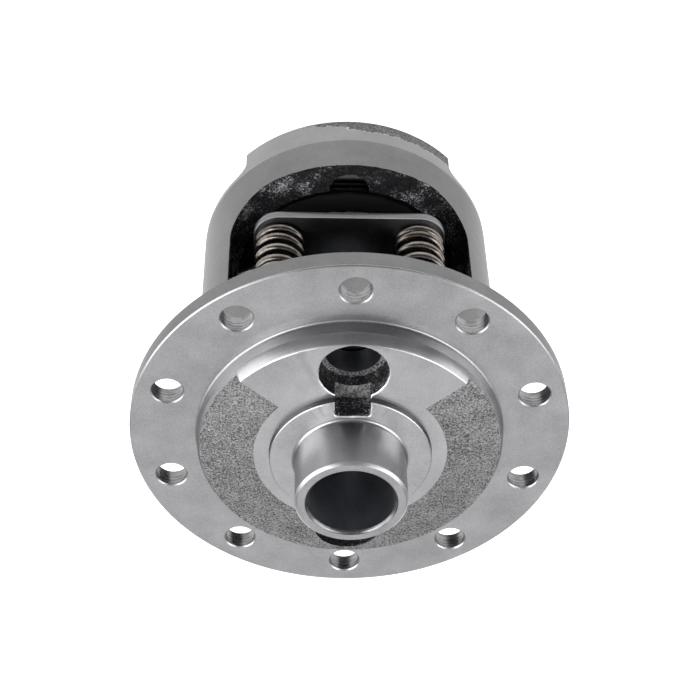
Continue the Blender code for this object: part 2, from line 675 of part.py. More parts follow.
def make_springs():
    """Coil springs: a round wire swept along a helix, with flat caps.

    Two opposite springs stand on their short closed end, the other two on their long one.
    """
    length = 2 * (SPRING_HALF_SPACE - GAP - SPRING_WIRE_RADIUS)
    mean_radius = SPRING_RADIUS - SPRING_WIRE_RADIUS
    steps = round(SPRING_TURNS * 12)
    sides = 5
    short = (SPRING_SHORT_START, SPRING_SHORT_CLOSED_TURNS, SPRING_LONG_CLOSED_TURNS)
    long = (SPRING_LONG_START, SPRING_LONG_CLOSED_TURNS, SPRING_SHORT_CLOSED_TURNS)
    places = ((1, 1, long), (-1, 1, short), (-1, -1, long), (1, -1, short))
    for number, (sign_x, sign_y, stance) in enumerate(places, start=1):
        centre = Vector((sign_x * SPRING_X, sign_y * SPRING_Y, PIN_HEIGHT))
        start, low_closed, high_closed = stance
        if sign_y < 0:
            start += math.pi
        builder = bmesh.new()
        previous = None
        for i in range(steps + 1):
            turn = SPRING_TURNS * i / steps
            angle = start - math.tau * turn
            outward = Vector((math.cos(angle), math.sin(angle), 0))
            middle = centre + outward * mean_radius
            middle.z += spring_height(turn, length, low_closed, high_closed) - length / 2
            section = []
            for k in range(sides):
                around = math.tau * k / sides
                offset = outward * math.cos(around) + Vector((0, 0, math.sin(around)))
                section.append(builder.verts.new(middle + offset * SPRING_WIRE_RADIUS))
            if previous:
                bridge(builder, previous, section)
            else:
                builder.faces.new(section)
            previous = section
        builder.faces.new(list(reversed(previous)))
        add_object(f"preload_spring_{number}", builder, ("spring_steel", SPRING_STEEL))


# ---- build --------------------------------------------------------------------------------
def main():
    for leftover in list(bpy.data.objects):
        bpy.data.objects.remove(leftover, do_unlink=True)
    make_case()
    make_side_gears()
    make_pinions()
    make_cross_pin()
    make_pinion_washers()
    make_lock_bolt()
    make_clutch_pack("flange_side", 1)
    make_clutch_pack("rear", -1)
    make_spring_plates()
    make_springs()


main()
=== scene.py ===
from math import acos, atan2, cos, hypot, pi, radians, sin, tan, tau

import bmesh
import bpy
from mathutils import Matrix, Vector, noise


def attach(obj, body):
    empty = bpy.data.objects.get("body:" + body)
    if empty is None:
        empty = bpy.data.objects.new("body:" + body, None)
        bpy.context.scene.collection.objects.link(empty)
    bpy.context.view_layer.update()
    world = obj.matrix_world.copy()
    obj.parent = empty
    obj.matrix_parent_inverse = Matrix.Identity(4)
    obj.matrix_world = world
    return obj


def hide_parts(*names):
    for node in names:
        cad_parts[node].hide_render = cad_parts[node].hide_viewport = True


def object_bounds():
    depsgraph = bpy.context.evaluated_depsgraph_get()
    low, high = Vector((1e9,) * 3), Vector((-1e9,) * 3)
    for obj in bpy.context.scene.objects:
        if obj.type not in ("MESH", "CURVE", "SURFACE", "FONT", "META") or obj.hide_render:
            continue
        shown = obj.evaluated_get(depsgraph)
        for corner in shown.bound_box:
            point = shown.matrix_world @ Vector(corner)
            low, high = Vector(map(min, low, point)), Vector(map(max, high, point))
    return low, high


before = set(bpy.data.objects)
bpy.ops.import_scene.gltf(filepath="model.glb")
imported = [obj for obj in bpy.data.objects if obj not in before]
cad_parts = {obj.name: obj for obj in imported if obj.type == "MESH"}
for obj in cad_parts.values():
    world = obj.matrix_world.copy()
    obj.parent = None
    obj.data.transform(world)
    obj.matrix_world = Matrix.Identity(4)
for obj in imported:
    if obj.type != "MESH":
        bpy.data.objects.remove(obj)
cad_low, cad_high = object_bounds()

# ---- sizes that repeat the CAD's, in metres ----
JOURNAL_RADIUS = 0.02064
JOURNAL_LENGTH = 0.0218
AXLE_BORE_RADIUS = 0.0159
SHOULDER_RADIUS = 0.0301
FLANGE_RADIUS = 0.0825
FLANGE_THICKNESS = 0.00775
BOLT_CIRCLE_RADIUS = 0.07106
BOLT_HOLE_RADIUS = 0.0058
BOLT_COUNT = 10
HUB_RADIUS = 0.0570
HUB_CAST_HEIGHT = 0.0070
HUB_PAD_HEIGHT = 0.0100
HUB_PAD_RADIUS = 0.0545
PAD_HALF_ANGLE = radians(48)
CAST_INNER_RADIUS = 0.0360
BODY_RADIUS = 0.0588
BODY_END_RADIUS = 0.0582
BODY_END_CHAMFER = 0.0003
BODY_TAPER_HEIGHT = 0.0141
BODY_LENGTH = 0.1220
PILOT_RADIUS = 0.0604
PILOT_LENGTH = 0.0105
CAVITY_RADIUS = 0.0465
CAVITY_HALF_HEIGHT = 0.0445
REAR_SHOULDER_STEP = 0.0030
FRONT_SHOULDER_STEP = 0.0029
PIN_HEIGHT = 0.0890
WINDOW_HALF_WIDTH = 0.0468
WINDOW_HALF_HEIGHT = 0.0332
WINDOW_CORNER = 0.0175
REAR_STEP_X = 0.0415
REAR_STEP_HEIGHT = 0.0115
REAR_STEP_FILLET = 0.0045
OIL_HOLE_Y = 0.0412
OIL_HOLE_RADIUS = 0.0127
OIL_BORE_RADIUS = 0.0105
REAR_OIL_HOLE_Y = 0.0460
REAR_OIL_HOLE_RADIUS = 0.0079
OIL_SLOT_HALF_WIDTH = 0.0065
OIL_SLOT_INNER_Y = 0.0225
OIL_SLOT_DEPTH = 0.0100
MODULE = 0.00425
SIDE_TEETH = 18
PINION_TEETH = 12
PRESSURE_ANGLE = radians(25)
TOE_RATIO = 0.80
BACKLASH = 0.0003
PIN_RADIUS = 0.0100
PIN_LENGTH = 0.1150
WASHER_THICKNESS = 0.0012
GAP = 0.0003
SIDE_HUB_RADIUS = 0.0260
SIDE_GEAR_BACK = 0.0332
PINION_POCKET_RADIUS = 0.0290
LOCK_BOLT_RADIUS = 0.0030
LOCK_BOLT_X = 0.0528
SLOT_HALF_WIDTH = 0.0076
SLOT_RADIUS = 0.0524
SLOT_INNER_RADIUS = 0.0400
SPRING_X = 0.0270
SPRING_Y = 0.0355
SPRING_RADIUS = 0.0102
SPRING_WIRE_RADIUS = 0.0017
SPRING_TURNS = 4.37
SPRING_SHORT_CLOSED_TURNS = 0.5
SPRING_LONG_CLOSED_TURNS = 1.0
SPRING_LONG_START = radians(90)
SPRING_SHORT_START = radians(140)
SPRING_HALF_SPACE = 0.0140
SPRING_PLATE_THICKNESS = 0.0036
SPRING_PLATE_HALF_X = 0.0375
SPRING_PLATE_HALF_Y = 0.0475
SPRING_PLATE_CORNER = 0.0100
PLATE_NOTCH_X = 0.0245
PLATE_NOTCH_Y = 0.0254
PLATE_HOLE_RADIUS = 0.0165

REAR_SHOULDER_Z = JOURNAL_LENGTH
BODY_END_Z = REAR_SHOULDER_Z + REAR_SHOULDER_STEP
FLANGE_FRONT_Z = BODY_END_Z + BODY_LENGTH
FLANGE_BACK_Z = FLANGE_FRONT_Z - FLANGE_THICKNESS
PAD_Z = FLANGE_FRONT_Z + HUB_PAD_HEIGHT
FRONT_SHOULDER_Z = PAD_Z + FRONT_SHOULDER_STEP
TOP_Z = FRONT_SHOULDER_Z + JOURNAL_LENGTH
CAVITY_LOW_Z = PIN_HEIGHT - CAVITY_HALF_HEIGHT
CAVITY_HIGH_Z = PIN_HEIGHT + CAVITY_HALF_HEIGHT
PIN_CENTRE = Vector((0.0, 0.0, PIN_HEIGHT))

CASE_SEGMENTS = 288
RIM_CHAMFER = 0.0004              # broken edge of the oil hole and its slot


# ---- materials ----
def put(tree, kind, inputs=None, **settings):
    """Add a node. An input that is a socket is linked, and any other value is set."""
    node = tree.nodes.new(kind)
    for key, value in settings.items():
        setattr(node, key, value)
    for key, value in (inputs or {}).items():
        if isinstance(value, bpy.types.NodeSocket):
            tree.links.new(value, node.inputs[key])
        else:
            node.inputs[key].default_value = value
    return node


def start_material(name, metallic, roughness=None, specular=None):
    """A material, its node tree, its shader and the coordinates that its patterns use."""
    made = bpy.data.materials.new(name)
    made.use_nodes = True
    tree = made.node_tree
    shader = tree.nodes["Principled BSDF"]
    shader.inputs["Metallic"].default_value = metallic
    if roughness is not None:
        shader.inputs["Roughness"].default_value = roughness
    if specular is not None:
        shader.inputs["Specular IOR Level"].default_value = specular
    return made, tree, shader, put(tree, "ShaderNodeTexCoord").outputs["Object"]


def noise_value(tree, where, scale, detail=3.0, roughness=0.55):
    return put(tree, "ShaderNodeTexNoise", {"Vector": where, "Scale": scale, "Detail": detail,
                                            "Roughness": roughness}).outputs[0]


def ranged(tree, value, low, high, to_low=0.0, to_high=1.0):
    return put(tree, "ShaderNodeMapRange", {0: value, 1: low, 2: high, 3: to_low, 4: to_high}).outputs[0]


def mixed(tree, factor, colour_a, colour_b):
    """Mix two colours, each a socket or three numbers."""
    node = put(tree, "ShaderNodeMix", {0: factor}, data_type='RGBA')
    for index, colour in ((6, colour_a), (7, colour_b)):
        if isinstance(colour, bpy.types.NodeSocket):
            tree.links.new(colour, node.inputs[index])
        else:
            node.inputs[index].default_value = (*colour, 1.0)
    return node.outputs[2]


def maths(tree, operation, a, b=0.0):
    return put(tree, "ShaderNodeMath", {0: a, 1: b}, operation=operation).outputs[0]


def weighted(tree, first, second, share):
    """The first value with a share of the second in it."""
    return maths(tree, 'ADD', maths(tree, 'MULTIPLY', first, 1.0 - share),
                 maths(tree, 'MULTIPLY', second, share))


def ring_coordinates(tree, where):
    """(distance from the Z axis, height, 0): a noise read there runs in rings round the axis."""
    parts = put(tree, "ShaderNodeSeparateXYZ", {0: where})
    flat = put(tree, "ShaderNodeCombineXYZ", {0: parts.outputs[0], 1: parts.outputs[1]}).outputs[0]
    radius = put(tree, "ShaderNodeVectorMath", {0: flat}, operation='LENGTH').outputs["Value"]
    return put(tree, "ShaderNodeCombineXYZ", {0: radius, 1: parts.outputs[2]}).outputs[0]


def bump(tree, height, strength, distance, previous=None):
    inputs = {"Height": height, "Strength": strength, "Distance": distance}
    if previous is not None:
        inputs["Normal"] = previous
    return put(tree, "ShaderNodeBump", inputs).outputs[0]


def finish_shader(tree, shader, colour, roughness, normal):
    tree.links.new(colour, shader.inputs["Base Color"])
    tree.links.new(roughness, shader.inputs["Roughness"])
    tree.links.new(normal, shader.inputs["Normal"])


# each machined finish: name, darkest and lightest colour, smoothest and roughest gloss, the rest
MACHINED = {
    "ground": ("ground_iron", (0.34, 0.34, 0.35), (0.53, 0.53, 0.545), 0.27, 0.40, {"grain": 0.4}),
    "pad": ("hub_pad_turned", (0.42, 0.42, 0.43), (0.60, 0.60, 0.61), 0.28, 0.40,
            {"ring_scale": 1500.0, "ring_depth": 0.5, "grain": 0.4}),
    "journal": ("journal_ground", (0.38, 0.38, 0.39), (0.50, 0.50, 0.51), 0.26, 0.36,
                {"ring_scale": 1800.0, "ring_depth": 0.5, "grain": 0.15}),
    "wall": ("hub_wall_turned", (0.32, 0.32, 0.325), (0.44, 0.44, 0.45), 0.29, 0.41,
             {"ring_scale": 1500.0, "ring_depth": 0.8}),
    "bright_edge": ("bright_edges", (0.44, 0.44, 0.45), (0.54, 0.54, 0.55), 0.30, 0.42, {}),
    # bare rims worn through the coating, with a painted highlight in their near-white tone
    "worn_and_lit_edge": ("worn_and_lit_edges", (0.70, 0.70, 0.71), (0.95, 0.95, 0.96), 0.50, 0.62, {}),
    "bore": ("axle_bore_oiled", (0.42, 0.43, 0.46), (0.58, 0.59, 0.63), 0.28, 0.42,
             {"ring_depth": 0.6}),
    "body": ("body_turned", (0.108, 0.108, 0.108), (0.156, 0.156, 0.156), 0.30, 0.40,
             {"ring_scale": 1400.0, "ring_depth": 0.45, "edge_tint": 0.75}),
    # the body's turned finish made lighter: painted light on the slight rear taper
    "end_band": ("end_band_turned_painted_light", (0.15, 0.15, 0.15), (0.205, 0.205, 0.205), 0.28, 0.38,
                 {"ring_scale": 1400.0, "ring_depth": 0.45}),
    "plate": ("plate_ground", (0.10, 0.10, 0.105), (0.16, 0.16, 0.165), 0.26, 0.42, {"grain": 0.4}),
    # lighter finish on the rounded edges: a painted highlight
    "plate_edge": ("plate_edge_painted_highlight", (0.21, 0.21, 0.215), (0.34, 0.34, 0.345), 0.26, 0.38, {}),
    "gear": ("gear_oiled", (0.16, 0.155, 0.15), (0.30, 0.295, 0.29), 0.20, 0.36, {"ring_depth": 0.5}),
    "pin": ("pin_ground", (0.20, 0.20, 0.205), (0.30, 0.30, 0.305), 0.16, 0.28,
            {"ring_depth": 0.2, "grain": 0.1}),
    "hardware": ("hardware_oiled", (0.10, 0.10, 0.105), (0.20, 0.20, 0.205), 0.24, 0.42, {}),
    "pack_plate": ("clutch_plate_oiled", (0.025, 0.025, 0.027), (0.06, 0.06, 0.063), 0.24, 0.42, {}),
}


def machined(name, dark, light, smooth, rough, ring_scale=2600.0, ring_depth=0.35, grain=0.25,
             edge_tint=1.0):
    """Turned or ground metal: fine rings, a satin grain and soft blotches in tone and gloss."""
    made, tree, shader, where = start_material(name, 1.0)
    shader.inputs["Specular Tint"].default_value = (edge_tint, edge_tint, edge_tint, 1.0)
    mottle = noise_value(tree, where, 55.0, 4.0, 0.6)
    fine = noise_value(tree, where, 1500.0, 2.0)
    rings = noise_value(tree, ring_coordinates(tree, where), ring_scale, 2.0, 0.7)
    colour = mixed(tree, ranged(tree, weighted(tree, mottle, fine, 0.4), 0.34, 0.66), dark, light)
    gloss = ranged(tree, weighted(tree, mottle, rings, 0.5), 0.3, 0.7, smooth, rough)
    ringed = bump(tree, rings, ring_depth, 0.00003)
    finish_shader(tree, shader, colour, gloss, bump(tree, fine, grain, 0.00004, ringed))
    return made


def drilled_wall():
    """Dark wall of a drilled hole, with the drill's marks round it."""
    made, tree, shader, where = start_material("drilled_wall", 1.0)
    height = put(tree, "ShaderNodeSeparateXYZ", {0: where}).outputs[2]
    level = put(tree, "ShaderNodeCombineXYZ", {2: height}).outputs[0]
    marks = noise_value(tree, level, 1300.0, 2.0, 0.6)
    smears = noise_value(tree, where, 260.0, 3.0)
    tone = ranged(tree, weighted(tree, marks, smears, 0.4), 0.40, 0.60)
    finish_shader(tree, shader, mixed(tree, tone, (0.09, 0.09, 0.09), (0.26, 0.26, 0.265)),
                  ranged(tree, smears, 0.3, 0.7, 0.24, 0.40), bump(tree, marks, 0.8, 0.00025))
    return made


def cast_colour_and_grains(tree, where, dark, light, scale=1050.0):
    """Sand-cast skin: packed grains about a millimetre across, dark between them."""
    grains = noise_value(tree, where, scale, 5.0, 0.65)
    patches = noise_value(tree, where, 130.0, 3.0)
    tone = ranged(tree, weighted(tree, grains, patches, 0.15), 0.40, 0.60)
    return mixed(tree, tone, dark, light), grains


def leave_cast_crescent(made):
    """On the turned end band, an as-cast crescent that the cut missed at the rear end."""
    tree = made.node_tree
    shader = tree.nodes["Principled BSDF"]
    turned_colour, turned_gloss, turned_normal = [
        shader.inputs[key].links[0].from_socket for key in ("Base Color", "Roughness", "Normal")]
    where = put(tree, "ShaderNodeTexCoord").outputs["Object"]
    parts = put(tree, "ShaderNodeSeparateXYZ", {0: where})
    reach = ranged(tree, parts.outputs[0], -0.024, 0.006, -0.0004, 0.0066)
    front = ranged(tree, parts.outputs[1], 0.0, 0.004, -0.01, 0.0)
    uneven = ranged(tree, noise_value(tree, where, 420.0, 4.0, 0.7), 0.3, 0.7, -0.0012, 0.0012)
    edge = maths(tree, 'ADD', maths(tree, 'ADD', maths(tree, 'ADD', reach, front), uneven), BODY_END_Z)
    inward = maths(tree, 'SUBTRACT', edge, parts.outputs[2])
    mask = ranged(tree, inward, 0.0, 0.0003)
    skin, grains = cast_colour_and_grains(tree, where, (0.045, 0.045, 0.045), (0.17, 0.17, 0.175))
    # pale specks along the crescent's edge: a painted highlight where the small step catches the light
    near_edge = ranged(tree, maths(tree, 'ABSOLUTE', inward), 0.0001, 0.0006, 1.0, 0.0)
    edge_glints = maths(tree, 'MULTIPLY', near_edge, ranged(tree, grains, 0.52, 0.62))
    gloss = put(tree, "ShaderNodeMix", {0: mask, 2: turned_gloss, 3: 0.55}, data_type='FLOAT').outputs[0]
    finish_shader(tree, shader,
                  mixed(tree, edge_glints, mixed(tree, mask, turned_colour, skin), (0.55, 0.55, 0.55)), gloss,
                  bump(tree, maths(tree, 'MULTIPLY', grains, mask), 0.9, 0.0005, turned_normal))


def cast_skin(name, dark, light, scale):
    made, tree, shader, where = start_material(name, 0.9)
    colour, grains = cast_colour_and_grains(tree, where, (dark,) * 3, (light,) * 3, scale)
    finish_shader(tree, shader, colour, ranged(tree, grains, 0.35, 0.65, 0.55, 0.38),
                  bump(tree, grains, 0.8, 0.0005))
    return made


def black_coating():
    """Black coating over sand-cast walls, with pale specks on the tops of the grains: painted glints of
    light.
    """
    made, tree, shader, where = start_material("black_coated_casting", 0.55, specular=0.8)
    grains = noise_value(tree, where, 1500.0, 4.0, 0.65)
    swells = noise_value(tree, where, 260.0, 2.0)
    patches = noise_value(tree, where, 95.0, 2.0)
    # pale specks where the grains and patches run high: painted highlights, glints of light on the grains
    glint_specks = ranged(tree, weighted(tree, grains, patches, 0.38), 0.55, 0.62)
    swollen = bump(tree, swells, 0.6, 0.0012)
    finish_shader(tree, shader, mixed(tree, glint_specks, (0.004, 0.004, 0.006), (0.60, 0.60, 0.64)),
                  ranged(tree, swells, 0.3, 0.7, 0.18, 0.36), bump(tree, grains, 1.0, 0.0009, swollen))
    return made


def oiled_black():
    made, tree, shader, where = start_material("inside_oiled_black", 0.0, specular=0.3)
    grains = noise_value(tree, where, 700.0, 3.0)
    finish_shader(tree, shader, mixed(tree, grains, (0.003, 0.003, 0.004), (0.012, 0.012, 0.014)),
                  ranged(tree, grains, 0.3, 0.7, 0.25, 0.45), bump(tree, grains, 0.3, 0.0003))
    return made


def spring_wire():
    """Drawn wire in a warm grey, under an uneven film of scale."""
    made, tree, shader, where = start_material("spring_wire", 1.0)
    marks = noise_value(tree, where, 500.0, 3.0, 0.6)
    film = noise_value(tree, where, 120.0, 2.0)
    tone = ranged(tree, weighted(tree, marks, film, 0.5), 0.35, 0.65)
    finish_shader(tree, shader, mixed(tree, tone, (0.080, 0.069, 0.060), (0.235, 0.216, 0.198)),
                  ranged(tree, marks, 0.3, 0.7, 0.14, 0.28), bump(tree, marks, 0.25, 0.00008))
    return made


def friction_lining():
    made, tree, shader, where = start_material("friction_lining", 0.0, specular=0.3)
    fibres = noise_value(tree, where, 1300.0, 4.0, 0.7)
    tone = ranged(tree, fibres, 0.35, 0.65)
    colour = mixed(tree, tone, (0.0045, 0.0045, 0.0045), (0.012, 0.0118, 0.0115))
    finish_shader(tree, shader, colour, ranged(tree, fibres, 0.3, 0.7, 0.6, 0.85),
                  bump(tree, fibres, 0.5, 0.0002))
    return made


def make_materials():
    made = {key: machined(*values, **rest) for key, (*values, rest) in MACHINED.items()}
    leave_cast_crescent(made["end_band"])
    made["hole_wall"] = drilled_wall()
    made["cast"] = cast_skin("cast_skin", 0.095, 0.50, 1500.0)
    # pale grains for the up-facing ledges: painted light falling on them from above
    made["ledge"] = cast_skin("ledge_painted_light", 0.03, 0.90, 1400.0)
    made["paint"] = black_coating()
    made["inside"] = oiled_black()
    made["spring"] = spring_wire()
    made["lining"] = friction_lining()
    return made


MATERIALS = make_materials()


# ---- mesh helpers ----
def ragged(point, wavelength, seed=0.0):
    """Smooth noise from -1 to 1 at a point, from two octaves, the same on every run."""
    place = Vector(point) / wavelength + Vector((seed, 0.37 * seed, 0.71 * seed))
    return noise.noise(place) + 0.5 * noise.noise(place * 2.3 + Vector((5.1, 2.7, 9.4)))


def smooth_shading(mesh, sharp_degrees=32.0):
    """Shade round faces smooth, and keep the corners over this angle sharp."""
    mesh.shade_smooth()
    mesh.set_sharp_from_angle(angle=radians(sharp_degrees))


def object_from(name, builder, materials, sharp_degrees=32.0):
    bmesh.ops.recalc_face_normals(builder, faces=builder.faces)
    mesh = bpy.data.meshes.new(name)
    builder.to_mesh(mesh)
    builder.free()
    for key in materials:
        mesh.materials.append(MATERIALS[key])
    smooth_shading(mesh, sharp_degrees)
    made = bpy.data.objects.new(name, mesh)
    bpy.context.scene.collection.objects.link(made)
    return made


def piece(made, body, slot, *nodes):
    """A finished piece rides on its body and stands for its CAD nodes."""
    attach(made, body)
    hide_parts(*nodes)


def bridge(builder, loop_a, loop_b, material_index=0):
    for i, vertex in enumerate(loop_a):
        j = (i + 1) % len(loop_a)
        face = builder.faces.new((vertex, loop_a[j], loop_b[j], loop_b[i]))
        face.material_index = material_index


def join_rings(builder, rings, finishes=None):
    """Walls from ring to ring, each with its own material where finishes says so, and two caps."""
    for number, (ring_a, ring_b) in enumerate(zip(rings, rings[1:])):
        bridge(builder, ring_a, ring_b, finishes[number] if finishes else 0)
    builder.faces.new(rings[0])
    builder.faces.new(list(reversed(rings[-1])))


def polar(radius, angle):
    return radius * cos(angle), radius * sin(angle)


def arc(centre_u, centre_v, radius, start, end, segments):
    """Points of an arc from one angle to another, in degrees, with both ends."""
    points = []
    for i in range(segments + 1):
        u, v = polar(radius, radians(start + (end - start) * i / segments))
        points.append((centre_u + u, centre_v + v))
    return points


def circle(centre_u, centre_v, radius, segments):
    return arc(centre_u, centre_v, radius, 0, 360, segments)[:-1]


def flat_ring(builder, radius, z, segments, centre=(0.0, 0.0)):
    corners = [polar(radius, tau * i / segments) for i in range(segments)]
    return [builder.verts.new((centre[0] + u, centre[1] + v, z)) for u, v in corners]


def filleted(corners, steps=4):
    """Round the corners of a closed outline of (u, v, radius, material) corners.

    Returns (u, v, material) points. A corner's material is that of the side after it.
    """
    points = []
    count = len(corners)
    for i, (u, v, radius, key) in enumerate(corners):
        here = Vector((u, v))
        before = Vector(corners[i - 1][:2]) - here
        after = Vector(corners[(i + 1) % count][:2]) - here
        if radius <= 0 or min(before.length, after.length) < 1e-7:
            points.append((u, v, key))
            continue
        opening = before.angle(after)
        if opening > radians(176):
            points.append((u, v, key))
            continue
        reach = min(radius / tan(opening / 2), 0.46 * before.length, 0.46 * after.length)
        real_radius = reach * tan(opening / 2)
        first = here + before.normalized() * reach
        last = here + after.normalized() * reach
        middle = here + (before.normalized() + after.normalized()).normalized() \
            * (real_radius / sin(opening / 2))
        spoke_a = first - middle
        spoke_b = last - middle
        turn = spoke_a.angle_signed(spoke_b)
        for step in range(steps + 1):
            angle = -turn * step / steps
            spoke = Vector((spoke_a.x * cos(angle) - spoke_a.y * sin(angle),
                            spoke_a.x * sin(angle) + spoke_a.y * cos(angle)))
            points.append((middle.x + spoke.x, middle.y + spoke.y, key))
    return points


def turned(profile, segments, keys=None):
    """Revolve a closed outline of (radius, z, material) points about Z."""
    builder = bmesh.new()
    rings = [flat_ring(builder, radius, z, segments) for radius, z, _ in profile]
    for i, ring in enumerate(rings):
        index = keys.index(profile[i][2]) if keys else 0
        bridge(builder, ring, rings[(i + 1) % len(rings)], index)
    return builder


def layered(outline, levels, to_world, roughness=None, builder=None):
    """A prism of many layers: roughness(point) says how far each point of a wall stands out."""
    builder = builder or bmesh.new()
    count = len(outline)
    normals = []
    for i in range(count):
        along = Vector(outline[(i + 1) % count]) - Vector(outline[i - 1])
        normals.append(Vector((along.y, -along.x)).normalized())
    loops = []
    for level in levels:
        loop = []
        for (u, v), outward in zip(outline, normals):
            out = roughness(to_world(u, v, level)) if roughness else 0.0
            loop.append(builder.verts.new(to_world(u + outward.x * out, v + outward.y * out, level)))
        loops.append(loop)
    join_rings(builder, loops)
    return builder


def upright(u, v, w):
    return Vector((u, v, w))


def steps_between(low, high, step):
    count = max(1, round((high - low) / step))
    return [low + (high - low) * i / count for i in range(count + 1)]


def resampled(outline, step):
    """The same closed outline with points about a step apart."""
    points = []
    for i, here in enumerate(outline):
        there = outline[(i + 1) % len(outline)]
        count = max(1, round((Vector(there) - Vector(here)).length / step))
        for k in range(count):
            points.append((here[0] + (there[0] - here[0]) * k / count,
                           here[1] + (there[1] - here[1]) * k / count))
    return points


def rounded_rectangle(half_u, half_v, radius, centre_u=0.0, centre_v=0.0, corner_segments=6):
    points = []
    for sign_u, sign_v, start in ((1, 1, 0), (-1, 1, 90), (-1, -1, 180), (1, -1, 270)):
        points += arc(centre_u + sign_u * (half_u - radius), centre_v + sign_v * (half_v - radius),
                      radius, start, start + 90, corner_segments)
    return points


def cut(target, cutters):
    """Apply one exact Boolean with every cutter. Cut faces keep their cutter's material."""
    group = bpy.data.collections.new(f"{target.name}_cutters")
    bpy.context.scene.collection.children.link(group)
    for cutter in cutters:
        group.objects.link(cutter)
    modifier = target.modifiers.new("cuts", 'BOOLEAN')
    modifier.operation = 'DIFFERENCE'
    modifier.operand_type = 'COLLECTION'
    modifier.collection = group
    modifier.material_mode = 'TRANSFER'
    bpy.context.view_layer.update()
    graph = bpy.context.evaluated_depsgraph_get()
    mesh = bpy.data.meshes.new_from_object(target.evaluated_get(graph))
    target.modifiers.clear()
    target.data = mesh
    for cutter in cutters:
        bpy.data.objects.remove(cutter)
    bpy.data.collections.remove(group)


# ---- case ----
CASE_KEYS = ["ground", "pad", "journal", "wall", "bright_edge", "worn_and_lit_edge", "hole_wall", "bore", "body",
             "end_band", "cast", "ledge", "paint", "inside"]


def case_profile():
    chamfer = 0.0010
    rim = 0.00045
    return filleted([
        (AXLE_BORE_RADIUS + chamfer, 0.0, 0.0001, "ground"),
        (JOURNAL_RADIUS - chamfer, 0.0, 0.0002, "bright_edge"),
        (JOURNAL_RADIUS, chamfer, 0.0003, "journal"),
        (JOURNAL_RADIUS, REAR_SHOULDER_Z, 0.0014, "ground"),
        (SHOULDER_RADIUS, REAR_SHOULDER_Z, 0.0004, "ground"),
        (SHOULDER_RADIUS, BODY_END_Z, 0.0003, "cast"),
        # the rear taper takes the lighter end band finish, which paints the light falling on it
        (BODY_END_RADIUS - BODY_END_CHAMFER, BODY_END_Z, 0.0002, "end_band"),
        (BODY_END_RADIUS, BODY_END_Z + BODY_END_CHAMFER, 0.0002, "end_band"),
        (BODY_RADIUS, BODY_END_Z + BODY_TAPER_HEIGHT, 0.0, "body"),
        (BODY_RADIUS, FLANGE_BACK_Z - PILOT_LENGTH - 0.001, 0.0006, "body"),
        (PILOT_RADIUS, FLANGE_BACK_Z - PILOT_LENGTH, 0.0004, "body"),
        (PILOT_RADIUS, FLANGE_BACK_Z, 0.0003, "ground"),
        (FLANGE_RADIUS - rim, FLANGE_BACK_Z, 0.0002, "bright_edge"),
        (FLANGE_RADIUS, FLANGE_BACK_Z + rim, 0.0002, "body"),
        (FLANGE_RADIUS, FLANGE_FRONT_Z - rim, 0.0002, "bright_edge"),
        (FLANGE_RADIUS - rim, FLANGE_FRONT_Z, 0.0002, "ground"),
        (HUB_RADIUS, FLANGE_FRONT_Z, 0.0011, "wall"),
        (HUB_RADIUS, FLANGE_FRONT_Z + 0.0058, 0.0008, "wall"),
        (HUB_PAD_RADIUS + 0.0003, PAD_Z - 0.0003, 0.0, "bright_edge"),
        (HUB_PAD_RADIUS - 0.0002, PAD_Z, 0.0001, "pad"),
        (SHOULDER_RADIUS, PAD_Z, 0.0002, "body"),
        (SHOULDER_RADIUS, FRONT_SHOULDER_Z - 0.0003, 0.0, "bright_edge"),
        (SHOULDER_RADIUS - 0.0003, FRONT_SHOULDER_Z, 0.0001, "pad"),
        (JOURNAL_RADIUS, FRONT_SHOULDER_Z, 0.0014, "journal"),
        (JOURNAL_RADIUS, TOP_Z - chamfer, 0.0003, "bright_edge"),
        (JOURNAL_RADIUS - chamfer, TOP_Z, 0.0002, "ground"),
        (AXLE_BORE_RADIUS + chamfer, TOP_Z, 0.0002, "hole_wall"),
        (AXLE_BORE_RADIUS, TOP_Z - chamfer, 0.0002, "bore"),
        (AXLE_BORE_RADIUS, CAVITY_HIGH_Z, 0.0004, "inside"),
        (CAVITY_RADIUS, CAVITY_HIGH_Z, 0.0008, "inside"),
        (CAVITY_RADIUS, CAVITY_LOW_Z, 0.0008, "inside"),
        (AXLE_BORE_RADIUS, CAVITY_LOW_Z, 0.0004, "bore"),
        (AXLE_BORE_RADIUS, chamfer, 0.0002, "hole_wall"),
    ])


def window_cutter():
    """One rounded opening right through, with the lumpy walls of a cored casting."""
    outline = resampled(rounded_rectangle(WINDOW_HALF_WIDTH, WINDOW_HALF_HEIGHT, WINDOW_CORNER,
                                          centre_v=PIN_HEIGHT, corner_segments=24), 0.0010)
    inner = 0.030
    outer = BODY_RADIUS + 0.004
    near = steps_between(inner, outer, 0.0010)
    levels = [-level for level in reversed(near)] + steps_between(-inner, inner, 0.006)[1:-1] + near

    def roughness(point):
        """Roughest near the outside of the openings, above and below."""
        lip = max(0.0, min(1.0, (abs(point[1]) - 0.033) / 0.008))
        ceiling = max(0.0, min(1.0, (abs(point[2] - PIN_HEIGHT) - 0.018) / 0.012))
        return 0.00010 + (0.00008 + 0.00030 * lip * ceiling) * (ragged(point, 0.0022) + 0.25)

    return object_from("cutter_windows",
                       layered(outline, levels, lambda u, v, w: Vector((u, w, v)), roughness), ["paint"])


